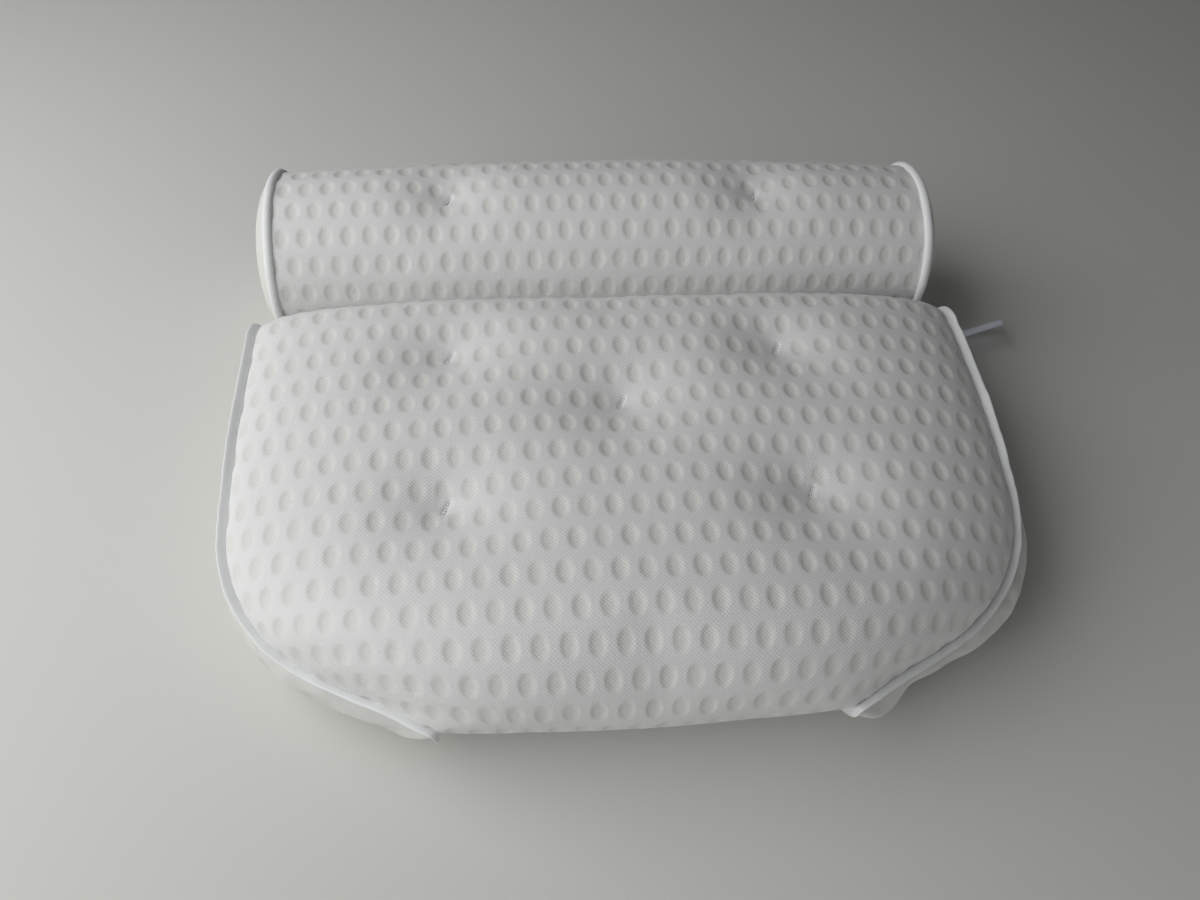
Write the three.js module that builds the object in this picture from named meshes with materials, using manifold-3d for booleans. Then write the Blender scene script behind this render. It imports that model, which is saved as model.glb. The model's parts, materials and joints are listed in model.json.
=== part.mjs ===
// A bath pillow: a padded body cushion with a head roll behind it, both in dimpled
// air mesh, joined by a cloth web so that the roll folds back over the edge of a tub.
// Seven tufts are tied through the padding to moulded buttons, and each button holds
// a suction cup under the back panel. A plastic hook on a loop hangs the pillow up.
// Millimetres, +Z up off the wall of the tub, +X to the right, +Y towards the roll.
// The origin lies on the rim of the middle suction cup, halfway across its flat.
import * as THREE from "three";
import { mergeVertices } from "three/addons/utils/BufferGeometryUtils.js";
import Module from "manifold-3d";

const wasm = await Module();
wasm.setup();

// Clearance between pieces that touch on the real pillow
const GAP = 0.3;

// Body cushion
const BODY_WIDTH = 392; // across the two side seams
const BODY_LENGTH = 238; // front of the nose to the back face
const BODY_THICKNESS = 80; // back panel to crown
const BACK_FACE_Y = 97; // back face, from the origin
const STAND_OFF = 12; // tub wall to back panel
const BACK_EDGE_RADIUS = 24; // top to back face
const BACK_HEM_HEIGHT = 5; // foot of the back panel to the lower end of the back face
const NOSE_TUCK = THREE.MathUtils.degToRad(80); // how far the nose rolls under

// Side seams of the body
const SEAM_HEIGHT = 69; // along the sides, above the tub wall
const SEAM_DROP_LENGTH = 150; // length of seam over which it sinks to the nose
const SEAM_DROP_START = 25; // place along the sides where it starts to sink
const SEAM_NOSE_ANGLE = THREE.MathUtils.degToRad(13); // below the middle of the nose
const SEAM_NOSE_PINCH = 2; // depth of the seam in the nose
const SEAM_NOSE_TAPER = 8; // how far the seams draw together under the nose
const SEAM_TUCK = 8; // start of the bound seam from the edge under the nose
const SEAM_HEM = 4; // end of the bound seam from the hem of the back face
const CORNER_RADIUS = 100; // front corners of the seam, from above
const CORNER_PINCH = 12; // how far the seam pulls in on its way round a corner
const CORNER_PINCH_ANGLE = THREE.MathUtils.degToRad(63); // where it pulls in most
const CORNER_TOP_ANGLE = THREE.MathUtils.degToRad(36); // corner left to the flat top
const CROWN_POWER = 3; // how flat the crown is between the seams
const CROWN_ROUND = 0.5; // how round it turns down to the seams
const END_BULGE = 1; // end panels beyond the seams
const END_TUCK = 5; // lower edge of the end panels inside the seams
const END_ROUND = 0.8; // share of a corner's pinch that they fill out again
const END_FULLNESS = 0.5; // most that they swell, for their height
const END_NOSE_CURVE = 1.2; // how late their lower edge draws in to the nose
const END_NOSE_LIFT = 5; // how late it lifts there
const END_NOSE_TIGHT = 2; // how late they draw tight there
const END_BACK_CORNER = 34; // length of lower edge that lifts to the hem

// Cloth
const COVER_THICKNESS = 4; // air mesh and the back panel
const PANEL_THICKNESS = 2.5; // plain cloth of the end panels
const PIPING_DIAMETER = 4.6; // diameter of the bound seams
const FILL_GAP = 0.8; // padding to cloth
const HEM_GAP = 1; // end panels to back panel and padding
const SEAM_GAP = 0.7; // cut edges of the cloth to the bound seams

// Head roll
const ROLL_LENGTH = 381; // between its end seams
const ROLL_RADIUS = 52; // at the middle
const ROLL_END_RADIUS = 49; // at the end seams
const ROLL_FLAT_WIDTH = 42; // width that the roll is flattened underneath
const ROLL_SPACING = 5.6; // back face of the body to the roll
const ROLL_END_BULGE = 5; // end caps beyond the end seams

// Tufts
const TUFT_SPREAD = 90; // each side of the middle
const TUFT_BACK_STEP = 35; // middle tuft to the back pair
const TUFT_FRONT_STEP = 59.5; // middle tuft to the front pair
const TUFT_DEPTH = 20; // in the body
const TUFT_REACH = 26; // spread of a dip
const ROLL_TUFT_DEPTH = 13;
const THREAD_DIAMETER = 1.4; // diameter of the tufting thread
const TACK_DIAMETER = 5.2; // diameter of the stitched knot on top
const TACK_HEIGHT = 1;
const TACK_SLOPE = 0.5; // underside of the knot, to lie in the dip
const KNOT_DIAMETER = 4; // diameter of the lower knot
const KNOT_HEIGHT = 1.5;

// Suction cups and the buttons that hold them
const CUP_RADIUS = 24;
const CUP_RIM_WIDTH = 5; // width of the flat rim
const CUP_LIP_THICKNESS = 1.2; // thickness of the rim
const CUP_HOLLOW_DEPTH = 3.6; // depth of the hollow
const CUP_WALL_THICKNESS = 2; // thickness at the crown
const NECK_DIAMETER = 8.4; // diameter of the neck
const HEAD_DIAMETER = 13.6; // diameter of the head
const HEAD_HEIGHT = 3.4;
const BORE_GAP = 0.4; // neck and head to their button
const BUTTON_WALL_THICKNESS = 1.6;
const FLANGE_DIAMETER = 26; // diameter of the button's flange

// Web between body and roll
const WEB_WIDTH = 350;
const WEB_THICKNESS = 2; // thickness
const WEB_RISE = THREE.MathUtils.degToRad(34); // up the front of the roll, to its seam
const WEB_SLACK_LENGTH = 12; // how far it hangs in under the front of the roll

// Hanging loop and hook
const HOOK_HEIGHT = 21; // loop on the right back seam, above the tub wall
const HOOK_TURN = THREE.MathUtils.degToRad(18); // away from straight out
const HOOK_LEAN = THREE.MathUtils.degToRad(123); // plate turned over and leaning back
const HOOK_THICKNESS = 4.3;
const HOOK_BAR_WIDTH = 5; // width of the hook's limbs
const HOOK_LENGTH = 60; // loop bar to the tip of the bend
const HOOK_BEND_RADIUS = 8.5; // middle radius of the bend
const HOOK_RETURN_LENGTH = 14; // straight limb after the bend
const HOOK_BEVEL_SIZE = 0.8;
const LOOP_WIDTH = 10;
const LOOP_STRAP_THICKNESS = 1.2; // thickness of the webbing
const LOOP_LENGTH = 14; // seam to hook bar
const LOOP_WRAP = THREE.MathUtils.degToRad(143); // either way round the bar from its far side
const EYE_BAR_WIDTH = 3.4; // bar that the webbing goes round
const EYE_WALL_WIDTH = 3; // sides of the slot
const EYE_SLOT_WIDTH = 7; // slot behind that bar
const EYE_GAP = 0.6; // webbing to the sides of the slot

// Facets
const BODY_COLUMNS = 22;
const BODY_ROWS = 20;
const ROLL_COLUMNS = 18;
const ROLL_RING = 20;
const WEB_COLUMNS = 8;
const WEB_STEPS = 6;
const END_ROWS = 4;
const CAP_RINGS = 4;
const CUP_STEPS = 3;
const SEAM_STEPS = 36;
const TUBE_SIDES = 6;
const CUP_SIDES = 14;
const BUTTON_SIDES = 10;
const THREAD_SIDES = 6;
const HOOK_STEPS = 6;
const LOOP_STEPS = 10;

const HALF_TURN = Math.PI / 2;
const { clamp, lerp, smoothstep } = THREE.MathUtils;
const range = (count) => Array.from({ length: count + 1 }, (_, i) => i / count);

// Geometry from a list of triangles whose corners are Vector3, turned to face out,
// without those that shrink to a line where a patch runs to a point
function fromTriangles(triangles) {
  const apart = (a, b) => a.distanceTo(b) > 1e-3;
  const whole = triangles.filter(([a, b, c]) => apart(a, b) && apart(b, c) && apart(c, a));
  const volume = whole.reduce((sum, [a, b, c]) => sum + a.dot(b.clone().cross(c)), 0);
  const corners = whole.flatMap(([a, b, c]) =>
    volume < 0 ? [a, c, b] : [a, b, c],
  );
  return new THREE.BufferGeometry().setFromPoints(corners);
}

// Two triangles for every cell of a grid of points
function gridTriangles(grid) {
  const triangles = [];
  for (let i = 0; i + 1 < grid.length; i++)
    for (let j = 0; j + 1 < grid[i].length; j++) {
      const [a, b, c, d] = [grid[i][j], grid[i + 1][j], grid[i + 1][j + 1], grid[i][j + 1]];
      triangles.push([a, b, c], [a, c, d]);
    }
  return triangles;
}

const flipped = (triangles) => triangles.map(([a, b, c]) => [a, c, b]);

// Triangles from a ring of points to its middle
function fan(ring, middle) {
  return ring.map((p, i) => [middle, p, ring[(i + 1) % ring.length]]);
}

// A sheet with a thickness: outer and inner grids of points, closed round the rim
function sheet(outer, inner) {
  const last = outer.length - 1;
  const end = outer[0].length - 1;
  const walls = [
    [outer[0], inner[0]],
    [inner[last], outer[last]],
    [inner.map((row) => row[0]), outer.map((row) => row[0])],
    [outer.map((row) => row[end]), inner.map((row) => row[end])],
  ];
  return fromTriangles([
    ...gridTriangles(outer),
    ...flipped(gridTriangles(inner)),
    ...walls.flatMap((pair) => flipped(gridTriangles(pair))),
  ]);
}

// A skin over rings of points, joined end to end or closed at both ends
function loft(rings, endless) {
  const rows = endless ? [...rings, rings[0]] : rings;
  const triangles = gridTriangles(rows.map((ring) => [...ring, ring[0]]));
  if (!endless) {
    const middle = (ring) =>
      ring.reduce((sum, p) => sum.add(p), new THREE.Vector3()).divideScalar(ring.length);
    triangles.push(...fan(rings[0], middle(rings[0])));
    triangles.push(...flipped(fan(rings.at(-1), middle(rings.at(-1)))));
  }
  return fromTriangles(triangles);
}

// A round tube along a run of points
function tube(points, radius, endless) {
  const count = points.length;
  const rings = points.map((p, i) => {
    const before = endless ? points[(i + count - 1) % count] : points[Math.max(i - 1, 0)];
    const after = endless ? points[(i + 1) % count] : points[Math.min(i + 1, count - 1)];
    const along = after.clone().sub(before).normalize();
    const side = new THREE.Vector3(0.6, 0.8, 0);
    if (endless) side.set(1, 0, 0);
    side.addScaledVector(along, -side.dot(along)).normalize();
    const up = along.clone().cross(side);
    return range(TUBE_SIDES).slice(1).map((f) =>
      p.clone()
        .addScaledVector(side, radius * Math.cos(4 * HALF_TURN * f))
        .addScaledVector(up, radius * Math.sin(4 * HALF_TURN * f)),
    );
  });
  return loft(rings, endless);
}

// A turned piece standing at a place, from radius and height pairs
function turned(profile, { x, y }, sides) {
  const points = profile.map(([radius, height]) => new THREE.Vector2(radius, height));
  return new THREE.LatheGeometry(points, sides).rotateX(HALF_TURN).translate(x, y, 0);
}

function solid(geometry) {
  const bare = new THREE.BufferGeometry();
  bare.setAttribute("position", geometry.getAttribute("position"));
  if (geometry.index) bare.setIndex(geometry.index);
  const merged = mergeVertices(bare, 1e-3);
  return new wasm.Manifold(
    new wasm.Mesh({
      numProp: 3,
      vertProperties: merged.getAttribute("position").array,
      triVerts: new Uint32Array(merged.index.array),
    }),
  );
}

// What is left of a piece after others are cut out of it
function cut(geometry, tools) {
  const left = tools.reduce((rest, tool) => rest.subtract(solid(tool)), solid(geometry));
  const { vertProperties, triVerts } = left.getMesh();
  return new THREE.BufferGeometry()
    .setAttribute("position", new THREE.BufferAttribute(vertProperties, 3))
    .setIndex(new THREE.BufferAttribute(triVerts, 1));
}

// A list of stations with the nearest inner ones moved onto given places
function stations(list, places) {
  const moved = [...list];
  for (const place of places) {
    const away = moved.slice(1, -1).map((value) => Math.abs(value - place));
    moved[1 + away.indexOf(Math.min(...away))] = place;
  }
  return moved;
}

const rimMiddle = CUP_RADIUS - CUP_RIM_WIDTH / 2;
const bodyTufts = [
  { name: "centre", x: 0, y: rimMiddle },
  ...[-1, 1].flatMap((side) => {
    const hand = side < 0 ? "left" : "right";
    return [
      { name: `back_${hand}`, x: side * TUFT_SPREAD, y: rimMiddle + TUFT_BACK_STEP },
      { name: `front_${hand}`, x: side * TUFT_SPREAD, y: rimMiddle - TUFT_FRONT_STEP },
    ];
  }),
];
const dip = (distance, depth) => depth * Math.exp(-((distance / TUFT_REACH) ** 2));

// Lengths of the body's centre line: nose, top, back edge and back face
const noseRadius = BODY_THICKNESS / 2;
const noseY = BACK_FACE_Y - BODY_LENGTH + noseRadius;
const noseZ = STAND_OFF + noseRadius;
const top = STAND_OFF + BODY_THICKNESS;
const noseArc = (HALF_TURN + NOSE_TUCK) * noseRadius;
const topRun = BACK_FACE_Y - BACK_EDGE_RADIUS - noseY;
const edgeArc = HALF_TURN * BACK_EDGE_RADIUS;
const faceDrop = BODY_THICKNESS - BACK_EDGE_RADIUS - BACK_HEM_HEIGHT;
const centreLine = noseArc + topRun + edgeArc + faceDrop;

// Middle of a front corner of the seam, in plan, so that it runs on into the nose
const cornerX = BODY_WIDTH / 2 - CORNER_RADIUS;
const cornerY =
  noseY - (noseRadius - SEAM_NOSE_PINCH) * Math.cos(SEAM_NOSE_ANGLE) + CORNER_RADIUS;
const seamNoseZ = noseZ - (noseRadius - SEAM_NOSE_PINCH) * Math.sin(SEAM_NOSE_ANGLE);

// How far the seam is pulled in, from nothing at the side to nothing at the nose
function cornerPull(angle) {
  const late = Math.log(0.5) / Math.log(CORNER_PINCH_ANGLE / HALF_TURN);
  const share = clamp(angle / HALF_TURN, 0, 1);
  return CORNER_PINCH * Math.sin(2 * HALF_TURN * share ** late) ** 2;
}

function seamHeight(distance) {
  const sunk = smoothstep(distance, 0, SEAM_DROP_LENGTH);
  return lerp(SEAM_HEIGHT, seamNoseZ, sunk);
}

// The row of the mesh panel that starts at a length along the centre line: its
// middle on the crown and its right end on the seam, drawn in by an inset
function bodyRow(length, inset) {
  const cornerEnd = (angle, sideInset) => {
    const reach = CORNER_RADIUS - cornerPull(angle) - sideInset;
    const height = seamHeight(SEAM_DROP_START - cornerY + CORNER_RADIUS * angle);
    return new THREE.Vector3(
      cornerX + reach * Math.cos(angle),
      cornerY - reach * Math.sin(angle),
      height,
    );
  };
  if (length <= noseArc) {
    const angle = length / noseRadius - NOSE_TUCK;
    const reach = noseRadius - inset;
    const middle = new THREE.Vector3(
      0,
      noseY - reach * Math.cos(angle),
      noseZ + reach * Math.sin(angle),
    );
    if (angle > SEAM_NOSE_ANGLE) {
      const round = (HALF_TURN - angle) / (HALF_TURN - SEAM_NOSE_ANGLE);
      return { middle, end: cornerEnd(lerp(CORNER_TOP_ANGLE, HALF_TURN, round), inset) };
    }
    const under = (SEAM_NOSE_ANGLE - angle) / (SEAM_NOSE_ANGLE + NOSE_TUCK);
    const seamAngle = lerp(-SEAM_NOSE_ANGLE, -NOSE_TUCK, under);
    const seamReach = reach - SEAM_NOSE_PINCH;
    const end = new THREE.Vector3(
      cornerX - SEAM_NOSE_TAPER * under,
      noseY - seamReach * Math.cos(seamAngle),
      noseZ + seamReach * Math.sin(seamAngle),
    );
    return { middle, end };
  }
  const sideX = BODY_WIDTH / 2 - inset;
  const sideZ = -inset / 2;
  if (length <= noseArc + topRun) {
    const y = noseY + length - noseArc;
    const middle = new THREE.Vector3(0, y, top - inset);
    if (y < cornerY) {
      const angle = (CORNER_TOP_ANGLE * (cornerY - y)) / (cornerY - noseY);
      const end = cornerEnd(angle, inset);
      end.z += lerp(sideZ, 0, angle / CORNER_TOP_ANGLE);
      return { middle, end };
    }
    const height = seamHeight(SEAM_DROP_START - y);
    return { middle, end: new THREE.Vector3(sideX, y, height + sideZ) };
  }
  const edgeY = BACK_FACE_Y - BACK_EDGE_RADIUS;
  const reach = BACK_EDGE_RADIUS - inset;
  if (length <= noseArc + topRun + edgeArc) {
    const angle = (length - noseArc - topRun) / BACK_EDGE_RADIUS;
    const y = edgeY + reach * Math.sin(angle);
    const middle = new THREE.Vector3(0, y, top - BACK_EDGE_RADIUS + reach * Math.cos(angle));
    const height = SEAM_HEIGHT - BACK_EDGE_RADIUS * (1 - Math.cos(angle));
    return { middle, end: new THREE.Vector3(sideX, y, height + sideZ * Math.cos(angle)) };
  }
  const down = (length - noseArc - topRun - edgeArc) / faceDrop;
  const hem = STAND_OFF + BACK_HEM_HEIGHT;
  const y = BACK_FACE_Y - inset;
  const middle = new THREE.Vector3(0, y, lerp(top - BACK_EDGE_RADIUS, hem, down));
  const end = new THREE.Vector3(sideX, y, lerp(SEAM_HEIGHT - BACK_EDGE_RADIUS, hem, down));
  return { middle, end };
}

// A point of the mesh panel: across from -1 at the left seam to 1 at the right one
function bodyPoint(across, length, inset) {
  const { middle, end } = bodyRow(length, inset);
  const crown = (1 - Math.abs(across) ** CROWN_POWER) ** CROWN_ROUND;
  const point = end.clone().lerp(middle, crown).setX(across * end.x);
  const facingUp = smoothstep(point.z, noseZ, top - inset);
  for (const { x, y } of bodyTufts)
    point.z -= facingUp * dip(Math.hypot(point.x - x, point.y - y), TUFT_DEPTH);
  return point;
}

// Plan places as a run round the outline and a reach out from the corner's middle
function toOutline(point) {
  if (point.y >= cornerY) return { run: point.y - cornerY, reach: point.x - cornerX };
  const [outX, outY] = [point.x - cornerX, cornerY - point.y];
  return { run: -Math.atan2(outY, outX) * CORNER_RADIUS, reach: Math.hypot(outX, outY) };
}

function fromOutline(run, reach, z) {
  if (run >= 0) return new THREE.Vector3(cornerX + reach, cornerY + run, z);
  const angle = -run / CORNER_RADIUS;
  return new THREE.Vector3(cornerX + reach * Math.cos(angle), cornerY - reach * Math.sin(angle), z);
}

// The lower edge of the right end panel, from the nose to the back
function lowerEdge(fraction, inset, floor) {
  const first = bodyRow(0, inset).end;
  const last = bodyRow(centreLine, inset).end;
  const start = toOutline(first);
  const stop = toOutline(last);
  const run = lerp(start.run, stop.run, fraction);
  const front = Math.max(run / start.run, 0);
  const drawnIn = front ** END_NOSE_CURVE;
  const back = smoothstep(run, stop.run - END_BACK_CORNER, stop.run);
  const side = CORNER_RADIUS - END_TUCK - inset;
  return {
    front,
    run,
    reach: lerp(lerp(side, start.reach, drawnIn), stop.reach, back),
    z: lerp(lerp(floor, first.z, front ** END_NOSE_LIFT), last.z, back),
  };
}

// A point of the right end panel: down from 0 at the seam to 1 at the lower edge
function endPoint(fraction, down, inset, floor) {
  const seam = bodyRow(fraction * centreLine, inset).end;
  const upper = toOutline(seam);
  const lower = lowerEdge(fraction, inset, floor);
  const height = seam.distanceTo(fromOutline(lower.run, lower.reach, lower.z));
  const corner = END_ROUND * cornerPull(-upper.run / CORNER_RADIUS);
  const room = END_BULGE + corner + (upper.reach - lower.reach) / 2;
  const swell = Math.min(room, END_FULLNESS * height) * (1 - lower.front ** END_NOSE_TIGHT);
  return fromOutline(
    lerp(upper.run, lower.run, down),
    lerp(upper.reach, lower.reach, down) + 4 * down * (1 - down) * swell,
    lerp(seam.z, lower.z, down),
  );
}

const mirrored = (point) => new THREE.Vector3(-point.x, point.y, point.z);
const onSide = (point, side) => (side < 0 ? mirrored(point) : point);

const part = new THREE.Group();

function add(name, geometry, { color, roughness }, parent = part) {
  const material = new THREE.MeshStandardMaterial({ color, roughness, metalness: 0 });
  const mesh = new THREE.Mesh(geometry, material);
  mesh.name = name;
  parent.add(mesh);
  return mesh;
}

const airMesh = { color: 0xe9eae6, roughness: 0.85 };
const plainCloth = { color: 0xe4e5e1, roughness: 0.8 };
const padding = { color: 0xf3f1e8, roughness: 0.95 };
const boundSeam = { color: 0xeeefec, roughness: 0.75 };
const softPlastic = { color: 0xdfe6ea, roughness: 0.15 };
const hardPlastic = { color: 0xc9cfdd, roughness: 0.3 };
const thread = { color: 0xf2f2ef, roughness: 0.7 };

// Rows and columns shared by the body's cover and its padding, the columns closer
// together where the crown turns down to the seams
const shoulder = (across) =>
  Math.sign(across) * Math.sin(HALF_TURN * Math.abs(across) ** 1.5) ** (2 / CROWN_POWER);
const columns = stations(
  range(BODY_COLUMNS).map((f) => shoulder(lerp(-1, 1, f))),
  bodyTufts.map(({ x }) => (2 * x) / BODY_WIDTH),
);
const rows = stations(
  range(BODY_ROWS).map((f) => f * centreLine),
  bodyTufts.map(({ y }) => noseArc + y - noseY),
);

const rod = (tuft, radius, sides, from, to) =>
  turned([[0, from], [radius, from], [radius, to], [0, to]], tuft, sides);

// Button and cup: heights above the tub wall of what passes through the cloth
const panelTop = STAND_OFF + COVER_THICKNESS;
const flangeFoot = panelTop + GAP;
const headFoot = flangeFoot + BUTTON_WALL_THICKNESS + BORE_GAP;
const buttonTop = headFoot + HEAD_HEIGHT + BORE_GAP + BUTTON_WALL_THICKNESS;
const buttonRadius = HEAD_DIAMETER / 2 + BORE_GAP + BUTTON_WALL_THICKNESS;
const neckBore = NECK_DIAMETER / 2 + BORE_GAP;
const panelBore = neckBore + GAP;
const threadBore = THREAD_DIAMETER / 2 + GAP;
const knotFoot = buttonTop + GAP;

// Hollow in the padding for a button and its thread
function pocket(tuft, ceiling) {
  const room = FLANGE_DIAMETER / 2 + FILL_GAP;
  const lid = knotFoot + KNOT_HEIGHT + FILL_GAP;
  return turned(
    [
      [0, STAND_OFF],
      [room, STAND_OFF],
      [room, lid],
      [threadBore, lid],
      [threadBore, ceiling],
      [0, ceiling],
    ],
    tuft,
    BUTTON_SIDES,
  );
}

// Body padding: the mesh panel's inside, the end panels' insides and a flat base
function bodyFilling() {
  const inset = COVER_THICKNESS + FILL_GAP;
  const floor = panelTop + GAP;
  const crown = columns.map((across) => rows.map((length) => bodyPoint(across, length, inset)));
  const end = (side, seam) =>
    rows.map((length, i) => {
      const below = (down) => endPoint(length / centreLine, down, inset, floor);
      return [seam[i], ...range(END_ROWS).slice(1).map((down) => onSide(below(down), side))];
    });
  const left = end(-1, crown[0]);
  const right = end(1, crown.at(-1));
  const rim = [
    ...crown.map((line) => line[0]),
    ...right.slice(1).map((line) => line[END_ROWS]),
    ...crown.map((line) => line.at(-1)).reverse().slice(1),
    ...left.slice(1, -1).map((line) => line[END_ROWS]).reverse(),
  ];
  const base = new THREE.Vector3(TUFT_SPREAD / 2, rimMiddle, floor);
  const shell = fromTriangles([
    ...gridTriangles(crown),
    ...flipped(gridTriangles(right)),
    ...gridTriangles(left),
    ...flipped(fan(rim, base)),
  ]);
  const pockets = bodyTufts.map((tuft) => pocket(tuft, top));
  return cut(shell, [seamRoom(-1), seamRoom(1), endRoom(-1), endRoom(1), ...pockets]);
}

// Bound seam along a side, and the room that it takes in the cloth and the padding
const seamPoints = (side) =>
  range(SEAM_STEPS).map((f) =>
    onSide(bodyRow(lerp(SEAM_TUCK, centreLine - SEAM_HEM, f), 0).end, side),
  );
const seamRoom = (side) => tube(seamPoints(side), PIPING_DIAMETER / 2 + GAP, false);
const seamEdge = PIPING_DIAMETER / 2 + SEAM_GAP;

// Body cover: the air mesh from under the nose, over the top and down the back face
function bodyCover() {
  const edge = (length) => {
    const { middle, end } = bodyRow(length, 0);
    const rise = Math.min(1, seamEdge / Math.hypot(middle.y - end.y, middle.z - end.z));
    const steep = (1 - rise ** (1 / CROWN_ROUND)) ** (1 / CROWN_POWER);
    return Math.max(steep, 1 - seamEdge / end.x);
  };
  const inside = (across, length) => Math.sign(across) * Math.min(Math.abs(across), edge(length));
  const grid = (inset) =>
    columns.map((across) =>
      rows.map((length) => bodyPoint(inside(across, length), length, inset)),
    );
  const threads = bodyTufts.map((tuft) => rod(tuft, threadBore, THREAD_SIDES, noseZ, top));
  return cut(sheet(grid(0), grid(COVER_THICKNESS)), [seamRoom(-1), seamRoom(1), ...threads]);
}

// End panel: plain cloth between a side seam and the back panel
function endSheet(side, outside, inside) {
  const grid = (inset) =>
    rows.slice(1, -1).map((length) => {
      const down = (share) => endPoint(length / centreLine, share, inset, STAND_OFF);
      const first = Math.min(seamEdge / down(0).distanceTo(down(1)), 0.5);
      return range(END_ROWS).map((f) => onSide(down(lerp(first, 1, f)), side));
    });
  return sheet(grid(outside), grid(inside));
}

const bodyEndPanel = (side) => cut(endSheet(side, 0, PANEL_THICKNESS), [seamRoom(side)]);
const endRoom = (side) => endSheet(side, -HEM_GAP, PANEL_THICKNESS + HEM_GAP);

// Back panel: cloth inside the lower edges, with a bore for each cup's neck
function bodyBackPanel() {
  const edge = range(BODY_ROWS).map((fraction) => {
    const { run, reach } = lowerEdge(fraction, PANEL_THICKNESS + HEM_GAP, STAND_OFF);
    return fromOutline(run, reach, 0);
  });
  const outline = [...edge, ...edge.map(mirrored).reverse()];
  const shape = new THREE.Shape(outline.map(({ x, y }) => new THREE.Vector2(x, y)));
  for (const { x, y } of bodyTufts)
    shape.holes.push(new THREE.Path().absarc(x, y, panelBore, 0, 4 * HALF_TURN));
  const panel = new THREE.ExtrudeGeometry(shape, {
    depth: COVER_THICKNESS,
    bevelEnabled: false,
    curveSegments: BUTTON_SIDES,
  }).translate(0, 0, STAND_OFF);
  return cut(panel, [endRoom(-1), endRoom(1), seamRoom(-1), seamRoom(1)]);
}

// Head roll: a barrel, flattened underneath where its cups are
const rollY = BACK_FACE_Y + ROLL_SPACING + ROLL_RADIUS;
const flatAngle = Math.asin(ROLL_FLAT_WIDTH / 2 / ROLL_RADIUS);
const rollTufts = [-1, 1].map((side) => ({
  name: side < 0 ? "roll_left" : "roll_right",
  x: side * TUFT_SPREAD,
  y: rollY,
}));

const rollRadius = (x) =>
  lerp(ROLL_RADIUS, ROLL_END_RADIUS, Math.min(1, Math.abs((2 * x) / ROLL_LENGTH)) ** 2);

// A point of the roll: angle round from the middle of its underside
function rollPoint(x, angle, inset) {
  const radius = rollRadius(x);
  const depth = radius * Math.cos(flatAngle) - inset;
  const middle = STAND_OFF + radius * Math.cos(flatAngle);
  const away = Math.abs(angle) < HALF_TURN ? depth / Math.cos(angle) : Infinity;
  let reach = Math.min(radius - inset, away);
  const overTop = radius * (2 * HALF_TURN - Math.abs(angle));
  for (const tuft of rollTufts) reach -= dip(Math.hypot(x - tuft.x, overTop), ROLL_TUFT_DEPTH);
  return new THREE.Vector3(x, rollY + reach * Math.sin(angle), middle - reach * Math.cos(angle));
}

const rollAngles = range(ROLL_RING).slice(1).map((f) => lerp(-2, 2, f) * HALF_TURN);
const rollRing = (x, inset) => rollAngles.map((angle) => rollPoint(x, angle, inset));
const rollStations = stations(
  range(ROLL_COLUMNS).map((f) => lerp(-ROLL_LENGTH / 2, ROLL_LENGTH / 2, f)),
  rollTufts.map(({ x }) => x),
);
const rollColumns = (edge) => [
  ROLL_LENGTH / 2 - edge,
  ...rollStations.slice(1, -1).reverse(),
  edge - ROLL_LENGTH / 2,
];
const rollTop = STAND_OFF + 2 * ROLL_RADIUS;

function rollFilling() {
  const inset = COVER_THICKNESS + FILL_GAP;
  const rings = rollColumns(inset - PANEL_THICKNESS).map((x) => rollRing(x, inset));
  return cut(loft(rings, false), rollTufts.map((tuft) => pocket(tuft, rollTop)));
}

function rollCover() {
  const places = rollColumns(seamEdge);
  const inner = places.map((x) => rollRing(x, COVER_THICKNESS));
  const outer = places.map((x) => rollRing(x, 0)).reverse();
  const bores = rollTufts.flatMap((tuft) => [
    rod(tuft, threadBore, THREAD_SIDES, noseZ, rollTop),
    rod(tuft, panelBore, BUTTON_SIDES, 0, flangeFoot),
  ]);
  return cut(loft([...inner, ...outer], true), bores);
}

// End cap: a slightly swollen disc of plain cloth inside the end seam
function rollEndCap(side) {
  const seam = ROLL_LENGTH / 2;
  const ring = rollRing(seam, 0);
  const middle = new THREE.Vector3(seam, rollY, STAND_OFF + ROLL_END_RADIUS * Math.cos(flatAngle));
  const widest = 1 - seamEdge / ROLL_END_RADIUS;
  const disc = (share, inset) =>
    ring.map((p) => {
      const point = middle.clone().lerp(p, share);
      point.x += ROLL_END_BULGE * (1 - share ** 2) - inset;
      return onSide(point, side);
    });
  const shares = range(CAP_RINGS).slice(1).map((f) => f * widest);
  const rings = [
    ...shares.map((share) => disc(share, 0)),
    ...shares.map((share) => disc(share, PANEL_THICKNESS)).reverse(),
  ];
  return loft(rings, false);
}

const rollPiping = (side) => tube(rollRing((side * ROLL_LENGTH) / 2, 0), PIPING_DIAMETER / 2, true);

// Web: a strip of cloth from the foot of the back face to the front of the roll
function hingeWeb() {
  const fromZ = STAND_OFF + BACK_HEM_HEIGHT + WEB_THICKNESS;
  const from = new THREE.Vector2(BACK_FACE_Y + 2 * GAP, fromZ);
  const grid = (offset) =>
    range(WEB_COLUMNS).map((across) => {
      const x = lerp(-WEB_WIDTH / 2, WEB_WIDTH / 2, across);
      const to = rollPoint(x, -flatAngle - WEB_RISE, -GAP);
      const low = new THREE.Vector2(to.y - WEB_SLACK_LENGTH, from.y - WEB_THICKNESS);
      const curve = new THREE.QuadraticBezierCurve(from, low, new THREE.Vector2(to.y, to.z));
      return range(WEB_STEPS).map((f) => {
        const { x: y, y: z } = curve.getPoint(f);
        const { x: alongY, y: alongZ } = curve.getTangent(f);
        return new THREE.Vector3(x, y + offset * alongZ, z - offset * alongY);
      });
    });
  return sheet(grid(0), grid(-WEB_THICKNESS));
}

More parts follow.
